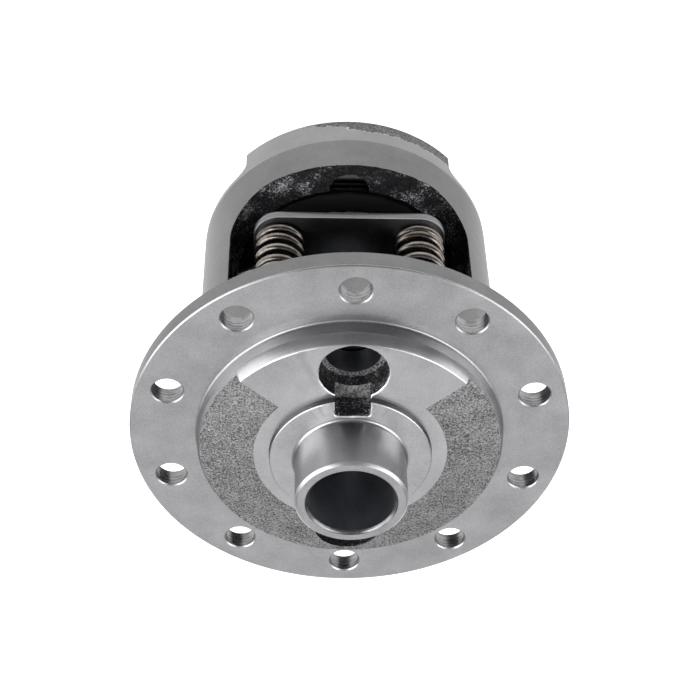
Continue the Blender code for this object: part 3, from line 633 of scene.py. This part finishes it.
def hub_face_cutter():
    """Outside the turned pad the hub's face is left as cast, sloping down to its rim."""
    builder = bmesh.new()
    start = pi / 2 + PAD_HALF_ANGLE
    sweep = tau - 2 * PAD_HALF_ANGLE
    inner = CAST_INNER_RADIUS
    outer = HUB_RADIUS + 0.0015
    step_down = 0.00022
    fall = HUB_PAD_HEIGHT - HUB_CAST_HEIGHT - 0.0005
    around = 250
    across = 24
    top = PAD_Z + 0.001
    rows = []
    for i in range(around + 1):
        angle = start + sweep * i / around
        row = []
        for k in range(across + 1):
            radius = inner + (outer - inner) * k / across
            share = (radius - CAST_INNER_RADIUS) / (HUB_RADIUS - CAST_INNER_RADIUS)
            height = PAD_Z - step_down - share * fall
            point = Vector((*polar(radius, angle), height))
            point.z += 0.00016 * ragged(point, 0.0016, 3.0)
            row.append(builder.verts.new(point))
        for radius in (outer, inner):
            row.append(builder.verts.new((*polar(radius, angle), top)))
        rows.append(row)
    join_rings(builder, rows)
    return object_from("cutter_hub_face", builder, ["cast"])


def cored(point):
    """How far the wall of a cored hole stands out at a point."""
    return 0.00016 * (ragged(point, 0.0020, 7.0) + 0.15)


def rim_depth(point):
    """How far a point lies above the foot of the chamfer that the oil hole and slot have."""
    surface_z = PAD_Z if hypot(point[0], point[1]) > SHOULDER_RADIUS else FRONT_SHOULDER_Z
    return point[2] - surface_z + RIM_CHAMFER


def rim_flare(point):
    """How far the chamfer opens the oil hole or slot at a point."""
    return max(0.0, min(2 * RIM_CHAMFER, rim_depth(point)))


def oil_hole_cutters():
    """Stepped holes in the front wall, plain ones in the rear wall, and the slot at +Y."""
    ledge_z = FLANGE_FRONT_Z - 0.002
    pad_levels = steps_between(ledge_z, PAD_Z - RIM_CHAMFER, 0.0009) + [PAD_Z + RIM_CHAMFER]
    bore_levels = steps_between(CAVITY_HIGH_Z - 0.003, ledge_z + 0.001, 0.002)
    rear_levels = steps_between(BODY_END_Z - 0.004, PIN_HEIGHT - WINDOW_HALF_HEIGHT + 0.003, 0.0012)
    cutters = []
    for side in (1, -1):
        wide = layered(circle(0, side * OIL_HOLE_Y, OIL_HOLE_RADIUS, 96), pad_levels, upright,
                       lambda point: cored(point) + rim_flare(point))
        cutters.append(object_from(f"cutter_oil_hole_{side}", wide, ["paint"]))
        deep = layered(circle(0, side * OIL_HOLE_Y, OIL_BORE_RADIUS, 72), bore_levels, upright,
                       lambda point: 0.3 * cored(point))
        cutters.append(object_from(f"cutter_oil_bore_{side}", deep, ["bore"]))
        rear = layered(circle(0, side * REAR_OIL_HOLE_Y, REAR_OIL_HOLE_RADIUS, 72), rear_levels, upright,
                       cored)
        cutters.append(object_from(f"cutter_rear_oil_hole_{side}", rear, ["inside"]))
    half_length = (OIL_HOLE_Y - OIL_SLOT_INNER_Y) / 2
    outline = resampled(rounded_rectangle(OIL_SLOT_HALF_WIDTH, half_length, 0.0013,
                                          centre_v=OIL_SLOT_INNER_Y + half_length), 0.0009)
    slot_levels = steps_between(FRONT_SHOULDER_Z - OIL_SLOT_DEPTH, PAD_Z - RIM_CHAMFER, 0.0009)
    slot_levels += [PAD_Z + RIM_CHAMFER, FRONT_SHOULDER_Z - RIM_CHAMFER,
                    FRONT_SHOULDER_Z + RIM_CHAMFER, FRONT_SHOULDER_Z + 0.002]
    slot = layered(outline, slot_levels, upright, lambda point: 1.3 * cored(point) + rim_flare(point))
    cutters.append(object_from("cutter_oil_slot", slot, ["paint"]))
    return cutters


def bolt_hole_cutter():
    """All the flange's holes in one cutter, with a broken edge at both ends."""
    chamfer = 0.00045
    out = 0.001
    outline = [(BOLT_HOLE_RADIUS + chamfer + out, FLANGE_BACK_Z - out),
               (BOLT_HOLE_RADIUS, FLANGE_BACK_Z + chamfer),
               (BOLT_HOLE_RADIUS, FLANGE_FRONT_Z - chamfer),
               (BOLT_HOLE_RADIUS + chamfer + out, FLANGE_FRONT_Z + out)]
    builder = bmesh.new()
    for i in range(BOLT_COUNT):
        centre = polar(BOLT_CIRCLE_RADIUS, pi / 2 + tau * i / BOLT_COUNT)
        join_rings(builder, [flat_ring(builder, radius, z, 64, centre) for radius, z in outline], (1, 0, 1))
    return object_from("cutter_bolt_holes", builder, ["hole_wall", "bright_edge"])


def rear_step_cutter():
    """The two side cuts that narrow the rear end, left as cast."""
    shoulder_z = BODY_END_Z + REAR_STEP_HEIGHT
    reach = BODY_RADIUS + 0.005
    low = BODY_END_Z - 0.002
    corner = arc(REAR_STEP_X + REAR_STEP_FILLET, shoulder_z - REAR_STEP_FILLET, REAR_STEP_FILLET,
                 90, 180, 14)
    outline = [(reach, shoulder_z)] + corner + [(REAR_STEP_X, low), (reach, low)]
    builder = bmesh.new()
    for side in (1, -1):
        layered([(side * u, v) for u, v in outline], [-reach, reach], lambda u, v, w: Vector((u, w, v)),
                builder=builder)
    return object_from("cutter_rear_steps", builder, ["cast"])


def clip_slot_cutter():
    """Slots for the eared plates and their clips, on the diagonals above and below the pin."""
    near = WINDOW_HALF_HEIGHT + 0.0006
    far = CAVITY_HALF_HEIGHT - 0.0002
    outline = [(SLOT_INNER_RADIUS, -SLOT_HALF_WIDTH), (SLOT_RADIUS, -SLOT_HALF_WIDTH),
               (SLOT_RADIUS, SLOT_HALF_WIDTH), (SLOT_INNER_RADIUS, SLOT_HALF_WIDTH)]
    builder = bmesh.new()
    for levels in ([PIN_HEIGHT - far, PIN_HEIGHT - near], [PIN_HEIGHT + near, PIN_HEIGHT + far]):
        for quarter in range(4):
            turn = Matrix.Rotation(radians(45 + 90 * quarter), 2)
            layered([tuple(turn @ Vector(point)) for point in outline], levels, upright, builder=builder)
    return object_from("cutter_clip_slots", builder, ["inside"])


def pin_bore_cutter():
    """The cross pin's bore, flared a little where it comes out of the body."""
    reach = BODY_RADIUS + 0.003
    flare = 0.0005
    builder = bmesh.new()
    rings = []
    for x, radius in ((-reach, PIN_RADIUS + 4 * flare), (-BODY_RADIUS + flare, PIN_RADIUS + GAP),
                      (BODY_RADIUS - flare, PIN_RADIUS + GAP), (reach, PIN_RADIUS + 4 * flare)):
        rings.append([builder.verts.new((x, u, v)) for u, v in circle(0, PIN_HEIGHT, radius, 72)])
    join_rings(builder, rings)
    return object_from("cutter_pin_bore", builder, ["hole_wall"])


def lock_bolt_cutter(name, low, high):
    """Upright hole for the lock bolt, for the case and for the cross pin."""
    outline = circle(LOCK_BOLT_X, 0, LOCK_BOLT_RADIUS + GAP, 36)
    return object_from(name, layered(outline, [low, high], upright), ["hole_wall"])


def pinion_pocket_cutter():
    seat = WINDOW_HALF_WIDTH - 0.0001
    pocket = layered(circle(0, PIN_HEIGHT, PINION_POCKET_RADIUS, 120), [-seat, seat],
                     lambda u, v, w: Vector((w, u, v)))
    return object_from("cutter_pinion_pockets", pocket, ["inside"])


def dress_case(made):
    """Clean the cut mesh, then finish the ledges and rims inside the front oil holes, whose pale finishes
    paint the light that falls on them.
    """
    builder = bmesh.new()
    builder.from_mesh(made.data)
    bmesh.ops.remove_doubles(builder, verts=builder.verts, dist=0.00003)
    bmesh.ops.dissolve_degenerate(builder, edges=builder.edges, dist=0.00002)
    names = [material.name for material in made.data.materials]
    coated = names.index(MATERIALS["paint"].name)
    for face in builder.faces:
        middle = face.calc_center_median()
        if face.material_index != coated or middle.z < CAVITY_HIGH_Z:
            continue
        # faces that look up take the pale grains: painted light from above
        if face.normal.z > 0.75:
            face.material_index = names.index(MATERIALS["ledge"].name)
        # chamfered rims: worn bare metal, made near white as a painted highlight
        elif rim_depth(middle) > 0 and middle.y > 0:
            face.material_index = names.index(MATERIALS["worn_and_lit_edge"].name)
    builder.to_mesh(made.data)
    builder.free()
    smooth_shading(made.data)


def make_case():
    case = object_from("case_finished", turned(case_profile(), CASE_SEGMENTS, CASE_KEYS), CASE_KEYS)
    lock_bolt_top = PIN_HEIGHT + PIN_RADIUS + 0.008
    cut(case, [window_cutter(), hub_face_cutter()] + oil_hole_cutters()
        + [bolt_hole_cutter(), rear_step_cutter(), clip_slot_cutter(), pin_bore_cutter(),
           lock_bolt_cutter("cutter_lock_bolt_hole", BODY_END_Z, lock_bolt_top), pinion_pocket_cutter()])
    dress_case(case)
    piece(case, "carrier", "case_iron", "case")


# ---- gears ----
def involute(angle):
    return tan(angle) - angle


def tooth_half_angle(radius, pitch_radius, virtual_teeth):
    base_radius = pitch_radius * cos(PRESSURE_ANGLE)
    pressure = acos(min(1.0, base_radius / radius))
    at_pitch = pi / (2 * virtual_teeth) - BACKLASH / (2 * pitch_radius)
    return at_pitch + involute(PRESSURE_ANGLE) - involute(pressure)


def tooth_ring(teeth, cone_angle, addendum, dedendum, phase, trim):
    """Outline of a bevel gear's large end. Trim takes the sharp tips off, in metres."""
    pitch_radius = MODULE * teeth / 2
    pitch_height = pitch_radius / tan(cone_angle)
    developed_radius = pitch_radius / cos(cone_angle)
    virtual_teeth = teeth / cos(cone_angle)
    # heights from the root to the tip; the first two widen into the root's fillet
    offsets = [-dedendum, -0.93 * dedendum, -0.78 * dedendum, -0.5 * dedendum, -0.2 * dedendum,
               0.15 * addendum, 0.5 * addendum, 0.88 * addendum, addendum]
    flank = []
    for number, offset in enumerate(offsets):
        kept = min(offset, addendum - trim)
        half = tooth_half_angle(developed_radius + kept, developed_radius, virtual_teeth)
        if number == 0:
            half += 0.16 * pi / virtual_teeth
        if number == 1:
            half += 0.06 * pi / virtual_teeth
        if number == len(offsets) - 1:
            half *= 0.86
        flank.append((pitch_radius + kept * cos(cone_angle),
                      pitch_height - kept * sin(cone_angle), half / cos(cone_angle)))
    ring = []
    for tooth in range(teeth):
        centre = phase + tau * tooth / teeth
        ring += [(r, h, centre - half) for r, h, half in flank]
        ring += [(r, h, centre + half) for r, h, half in reversed(flank)]
    return ring


def bevel_gear(ring_of, blank):
    """Rings from the toe to the heel, then a turned blank of (radius, height) points."""
    builder = bmesh.new()
    full = ring_of(0.0)
    trimmed = ring_of(0.0005)
    angles = [angle for _, _, angle in full]

    def level(points, ratio=1.0):
        return [builder.verts.new((*polar(r * ratio, a), h * ratio)) for r, h, a in points]

    teeth = [level(trimmed), level(full, 0.985), level(full, TOE_RATIO + 0.015), level(trimmed, TOE_RATIO)]
    for ring_a, ring_b in zip(teeth, teeth[1:]):
        bridge(builder, ring_a, ring_b)
    previous = teeth[-1]
    for radius, height in blank:
        following = level([(radius, height, angle) for angle in angles])
        bridge(builder, previous, following)
        previous = following
    bridge(builder, previous, teeth[0])
    return builder


def spline_outline():
    """The side gears' internal spline, as a closed outline."""
    minor = 0.0156
    major = 0.0166
    teeth = 28
    points = []
    for tooth in range(teeth):
        for share, radius in ((0.0, minor), (0.22, minor), (0.34, major), (0.66, major), (0.78, minor)):
            points.append(polar(radius, tau * (tooth + share) / teeth))
    return points


def make_side_gears():
    cone_angle = atan2(SIDE_TEETH, PINION_TEETH)
    face = SPRING_HALF_SPACE + SPRING_PLATE_THICKNESS + GAP
    hub_end = CAVITY_HALF_HEIGHT - GAP
    bore = 0.0150
    toe_radius = 0.0222
    heel_radius = 0.0368
    ease = 0.0005
    blank = [(toe_radius, face + 0.0003), (toe_radius - 0.0004, face), (bore, face), (bore, hub_end),
             (SIDE_HUB_RADIUS - ease, hub_end), (SIDE_HUB_RADIUS, hub_end - ease),
             (SIDE_HUB_RADIUS, SIDE_GEAR_BACK + 0.0004), (SIDE_HUB_RADIUS + 0.0004, SIDE_GEAR_BACK),
             (heel_radius - 0.0006, SIDE_GEAR_BACK), (heel_radius, SIDE_GEAR_BACK - ease)]
    for suffix, node, direction in (("a", "side_gear_flange_side", 1), ("b", "side_gear_rear", -1)):
        builder = bevel_gear(lambda trim: tooth_ring(SIDE_TEETH, cone_angle, 0.75 * MODULE, 1.15 * MODULE,
                                                     0.0, trim), blank)
        if direction < 0:
            builder.transform(Matrix.Rotation(pi, 4, 'X'))
        builder.transform(Matrix.Translation(PIN_CENTRE))
        gear = object_from(f"side_gear_{suffix}_toothed", builder, ["gear", "bore"])
        levels = sorted(PIN_HEIGHT + direction * height for height in (face - 0.002, hub_end + 0.002))
        cut(gear, [object_from("cutter_splines", layered(spline_outline(), levels, upright), ["bore"])])
        smooth_shading(gear.data)
        piece(gear, f"side_gear_{suffix}", "gear_steel", node)


def make_pinions():
    cone_angle = atan2(PINION_TEETH, SIDE_TEETH)
    back = WINDOW_HALF_WIDTH - WASHER_THICKNESS - 2 * GAP
    front = 0.0272
    bore = PIN_RADIUS + 0.00035
    heel_radius = 0.0232
    ease = 0.0006
    blank = [(bore + ease, front), (bore, front + ease), (bore, back - ease), (bore + ease, back),
             (heel_radius - ease, back), (heel_radius, back - 0.0005)]
    for number, side in ((1, 1), (2, -1)):
        builder = bevel_gear(lambda trim: tooth_ring(PINION_TEETH, cone_angle, 0.90 * MODULE, 1.0 * MODULE,
                                                     pi / PINION_TEETH, trim), blank)
        turn = Vector((0, 0, 1)).rotation_difference(Vector((side, 0, 0))).to_matrix().to_4x4()
        builder.transform(Matrix.Translation(PIN_CENTRE) @ turn)
        piece(object_from(f"pinion_{number}_toothed", builder, ["gear"]), f"pinion_{number}", "gear_steel",
              f"pinion_gear_{number}")


# ---- pin, washers, bolt ----
def along_x(builder, centre):
    builder.transform(Matrix.Translation(centre) @ Matrix.Rotation(pi / 2, 4, 'Y'))
    return builder


def solid_of_revolution(profile, segments):
    """Rings from end to end, with a flat cap at each end."""
    builder = bmesh.new()
    join_rings(builder, [flat_ring(builder, radius, z, segments) for radius, z in profile])
    return builder


def make_cross_pin():
    half = PIN_LENGTH / 2
    chamfer = 0.0010
    profile = [(PIN_RADIUS - chamfer, -half), (PIN_RADIUS - 0.0002, -half + 0.0007),
               (PIN_RADIUS, -half + chamfer + 0.0003), (PIN_RADIUS, half - chamfer - 0.0003),
               (PIN_RADIUS - 0.0002, half - 0.0007), (PIN_RADIUS - chamfer, half)]
    pin = object_from("cross_pin_ground", along_x(solid_of_revolution(profile, 96), PIN_CENTRE),
                      ["pin", "hole_wall"])
    cut(pin, [lock_bolt_cutter("cutter_pin_lock_hole", PIN_HEIGHT - 0.02, PIN_HEIGHT + 0.02)])
    smooth_shading(pin.data)
    piece(pin, "carrier", "pin_steel", "cross_pin")


def make_pinion_washers():
    inner = PIN_RADIUS + 0.0005
    outer = 0.0215
    ease = 0.0002
    for number, side in ((1, 1), (2, -1)):
        seat = side * (WINDOW_HALF_WIDTH - GAP)
        low, high = sorted((seat, seat - side * WASHER_THICKNESS))
        corners = filleted([(inner, low, ease, ""), (outer, low, ease, ""), (outer, high, ease, ""),
                            (inner, high, ease, "")], 2)
        washer = object_from(f"pinion_{number}_thrust_washer", along_x(turned(corners, 120), PIN_CENTRE),
                             ["hardware"])
        piece(washer, "carrier", "hardware_steel", f"pinion_washer_{number}")


def make_lock_bolt():
    """Hexagon head with rounded corners, a short collar under it, and a plain shank."""
    seat = BODY_END_Z + REAR_STEP_HEIGHT - GAP
    head_z = seat - 0.0052
    tip = PIN_HEIGHT + PIN_RADIUS + 0.006
    corner_radius = 0.0056
    collar_radius = 0.0052
    ease = 0.0006
    segments = 48

    def hexagon(angle, radius):
        side = corner_radius * cos(pi / 6)
        around = (angle + pi / 6) % (pi / 3) - pi / 6
        return min(radius, side / cos(pi / 6 - abs(around)))

    # radius, whether the hexagon limits it, and height
    levels = [(0.80 * collar_radius, False, head_z), (0.93 * collar_radius, True, head_z),
              (corner_radius, True, head_z + ease), (corner_radius, True, seat - ease),
              (collar_radius, True, seat - 0.0004), (0.93 * collar_radius, False, seat - 0.0004),
              (0.93 * collar_radius, False, seat), (LOCK_BOLT_RADIUS, False, seat),
              (LOCK_BOLT_RADIUS, False, tip - ease), (LOCK_BOLT_RADIUS - ease, False, tip)]
    builder = bmesh.new()
    rings = []
    for limit, six_sided, z in levels:
        ring = []
        for i in range(segments):
            angle = tau * i / segments
            radius = hexagon(angle, limit) if six_sided else limit
            u, v = polar(radius, angle)
            ring.append(builder.verts.new((LOCK_BOLT_X + u, v, z)))
        rings.append(ring)
    join_rings(builder, rings)
    piece(object_from("cross_pin_lock_bolt_hex", builder, ["hardware"]), "carrier", "hardware_steel",
          "cross_pin_lock_bolt")


# ---- springs and their plates ----
def spring_height(turn, length, low_closed, high_closed):
    closed_pitch = 2 * SPRING_WIRE_RADIUS * 1.05
    rise = length - (low_closed + high_closed) * closed_pitch
    if turn < low_closed:
        return turn * closed_pitch
    if turn > SPRING_TURNS - high_closed:
        return length - (SPRING_TURNS - turn) * closed_pitch
    open_turns = SPRING_TURNS - low_closed - high_closed
    return low_closed * closed_pitch + rise * (turn - low_closed) / open_turns


def wound_wire(centre, start, low_closed, high_closed):
    """Drawn wire on a helix, its end coils closed and ground flat to a thin tongue."""
    length = 2 * (SPRING_HALF_SPACE - GAP - SPRING_WIRE_RADIUS)
    mean_radius = SPRING_RADIUS - SPRING_WIRE_RADIUS
    ground_low = PIN_HEIGHT - SPRING_HALF_SPACE + GAP
    ground_high = PIN_HEIGHT + SPRING_HALF_SPACE - GAP
    tongue = 0.42
    turns = SPRING_TURNS + 2 * tongue
    steps = round(turns * 56)
    sides = 16
    builder = bmesh.new()
    sections = []
    for i in range(steps + 1):
        turn = turns * i / steps - tongue
        angle = start - tau * turn
        outward = Vector((*polar(1.0, angle), 0))
        middle = centre + outward * mean_radius
        middle.z += spring_height(turn, length, low_closed, high_closed) - length / 2
        section = []
        for k in range(sides):
            around = tau * k / sides
            offset = outward * cos(around) + Vector((0, 0, sin(around)))
            point = middle + offset * SPRING_WIRE_RADIUS
            point.z = max(ground_low, min(ground_high, point.z))
            section.append(builder.verts.new(point))
        sections.append(section)
    join_rings(builder, sections)
    return builder


def make_springs():
    """Neighbouring springs stand opposite ways up, and those at -Y are turned half a turn."""
    short = (SPRING_SHORT_START, SPRING_SHORT_CLOSED_TURNS, SPRING_LONG_CLOSED_TURNS)
    long = (SPRING_LONG_START, SPRING_LONG_CLOSED_TURNS, SPRING_SHORT_CLOSED_TURNS)
    places = ((1, 1, long), (-1, 1, short), (-1, -1, long), (1, -1, short))
    for number, (sign_x, sign_y, stance) in enumerate(places, start=1):
        centre = Vector((sign_x * SPRING_X, sign_y * SPRING_Y, PIN_HEIGHT))
        start, low_closed, high_closed = stance
        if sign_y < 0:
            start += pi
        wire = wound_wire(centre, start, low_closed, high_closed)
        piece(object_from(f"preload_spring_{number}_wound", wire, ["spring"], 40.0), "carrier",
              "spring_steel", f"preload_spring_{number}")


def spring_plate_outline():
    """A rectangle with rounded corners and a notch in each side for the pinions."""
    notch_corner = 0.0020
    ear_corner = 0.0010
    quarter = arc(PLATE_NOTCH_X + notch_corner, PLATE_NOTCH_Y - notch_corner, notch_corner, 180, 90, 5)
    quarter += arc(SPRING_PLATE_HALF_X - ear_corner, PLATE_NOTCH_Y + ear_corner, ear_corner, -90, 0, 4)
    quarter += arc(SPRING_PLATE_HALF_X - SPRING_PLATE_CORNER, SPRING_PLATE_HALF_Y - SPRING_PLATE_CORNER,
                   SPRING_PLATE_CORNER, 0, 90, 20)
    upper = quarter + [(-u, v) for u, v in reversed(quarter)]
    return upper + [(-u, -v) for u, v in upper]


def ease_plate_edges(mesh, width):
    """Round the edges of the two faces, and give the new faces a lighter finish that paints the highlight
    along them.
    """
    builder = bmesh.new()
    builder.from_mesh(mesh)
    edges = [edge for edge in builder.edges if len(edge.link_faces) == 2
             and edge.calc_face_angle(0.0) > radians(60)
             and abs(edge.verts[0].co.z - edge.verts[1].co.z) < 1e-6]
    bmesh.ops.bevel(builder, geom=edges, offset=width, offset_type='OFFSET', segments=2, profile=0.5,
                    affect='EDGES', clamp_overlap=True, material=1)
    builder.to_mesh(mesh)
    builder.free()
    smooth_shading(mesh, 40.0)


def make_spring_plates():
    outline = spring_plate_outline()
    for name, direction in (("spring_plate_flange_side", 1), ("spring_plate_rear", -1)):
        low, high = sorted((PIN_HEIGHT + direction * SPRING_HALF_SPACE,
                            PIN_HEIGHT + direction * (SPRING_HALF_SPACE + SPRING_PLATE_THICKNESS)))
        plate = object_from(f"{name}_blanked", layered(outline, [low, high], upright),
                            ["plate", "plate_edge"])
        hole = layered(circle(0, 0, PLATE_HOLE_RADIUS, 96), [low - 0.002, high + 0.002], upright)
        cut(plate, [object_from(f"cutter_{name}", hole, ["plate"])])
        ease_plate_edges(plate.data, 0.00030)
        piece(plate, "carrier", "plate_steel", name)


# ---- clutch packs: the CAD plates keep their shapes and get their finishes ----
def finish_cad_nodes():
    keys = {"friction_disc": "lining", "eared_plate": "pack_plate", "clutch_shim": "pack_plate",
            "guide_clip": "hardware"}
    for name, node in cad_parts.items():
        for start, key in keys.items():
            if name.startswith(start):
                node.data.materials.clear()
                node.data.materials.append(MATERIALS[key])


# ---- stage ----
def make_floor():
    """Pale paper that glows most near the object, where its light comes up through the holes: a painted
    pool of light that also lifts the shadow under the object.
    """
    builder = bmesh.new()
    bmesh.ops.create_grid(builder, x_segments=2, y_segments=2, size=4.0)
    mesh = bpy.data.meshes.new("studio_floor")
    builder.to_mesh(mesh)
    builder.free()
    floor = bpy.data.objects.new("studio_floor", mesh)
    floor.location.z = cad_low.z - 0.0001
    bpy.context.scene.collection.objects.link(floor)
    paper, tree, shader, where = start_material("studio_paper_light_pool", 0.0, roughness=0.9)
    tree.links.new(mixed(tree, noise_value(tree, where, 40.0), (0.78, 0.78, 0.78), (0.82, 0.82, 0.82)),
                   shader.inputs["Base Color"])
    shader.inputs["Emission Color"].default_value = (1.0, 1.0, 1.0, 1.0)
    spread = put(tree, "ShaderNodeVectorMath", {0: where}, operation='LENGTH').outputs["Value"]
    # glow that fades with distance from the object: a painted pool of light
    tree.links.new(ranged(tree, spread, 0.55, 1.4, 0.88, 0.10), shader.inputs["Emission Strength"])
    mesh.materials.append(paper)


def make_world():
    """Soft light from all round, strongest from high up on the -Y side."""
    world = bpy.data.worlds.new("soft_studio")
    bpy.context.scene.world = world
    world.use_nodes = True
    tree = world.node_tree
    sky = tree.nodes["Background"]
    direction = put(tree, "ShaderNodeTexCoord").outputs["Generated"]
    towards_light = put(tree, "ShaderNodeVectorMath", {0: direction, 1: (-0.06, -0.67, 0.74)},
                        operation='DOT_PRODUCT').outputs["Value"]
    sky.inputs["Color"].default_value = (1.0, 1.0, 1.02, 1.0)
    tree.links.new(ranged(tree, towards_light, -0.6, 0.9, 0.14, 0.36), sky.inputs["Strength"])


def softbox(name, direction, distance, size, watts):
    """A soft light at this distance from the object's middle, facing it."""
    light = bpy.data.lights.new(name, 'AREA')
    light.shape = 'RECTANGLE'
    light.size, light.size_y = size
    light.energy = watts
    lamp = bpy.data.objects.new(name, light)
    away = Vector(direction).normalized()
    lamp.location = PIN_CENTRE + away * distance
    lamp.rotation_euler = away.to_track_quat('Z', 'Y').to_euler()
    bpy.context.scene.collection.objects.link(lamp)


def make_lights():
    softbox("key_softbox", (0.14, -0.66, 0.74), 1.3, (1.5, 1.1), 2.9)
    softbox("left_softbox", (-0.80, 0.12, 0.62), 1.1, (1.0, 1.3), 11.5)
    softbox("right_softbox", (0.80, 0.12, 0.62), 1.1, (0.7, 1.0), 5.5)
    softbox("upper_left_softbox", (-0.50, 0.32, 0.80), 1.1, (0.35, 0.35), 1.3)
    softbox("upper_right_softbox", (0.50, 0.32, 0.80), 1.1, (0.35, 0.35), 1.3)


# ---- camera: looks down on the flange from the +Y side, rolled half a turn ----
def make_camera():
    target = Vector((0.00096, 0.0, 0.0988))
    distance = 0.6893
    azimuth = radians(182.97)
    elevation = radians(47.90)
    roll = radians(-178.44)
    data = bpy.data.cameras.new("camera")
    data.sensor_width = 36.0
    data.lens = 89.43
    data.clip_start = 0.01
    data.clip_end = 20.0
    camera = bpy.data.objects.new("camera", data)
    back = Vector((sin(azimuth) * cos(elevation), -cos(azimuth) * cos(elevation),
                   sin(elevation)))
    level_up = (Vector((0, 0, 1)) - back * back.z).normalized()
    level_right = level_up.cross(back)
    up = level_up * cos(roll) + level_right * sin(roll)
    right = up.cross(back)
    matrix = Matrix((right, up, back)).transposed().to_4x4()
    matrix.translation = target + back * distance
    camera.matrix_world = matrix
    bpy.context.scene.collection.objects.link(camera)
    bpy.context.scene.camera = camera


make_case()
make_side_gears()
make_pinions()
make_cross_pin()
make_pinion_washers()
make_lock_bolt()
make_springs()
make_spring_plates()
finish_cad_nodes()
make_floor()
make_world()
make_lights()
make_camera()
bpy.context.scene.view_settings.view_transform = 'Standard'
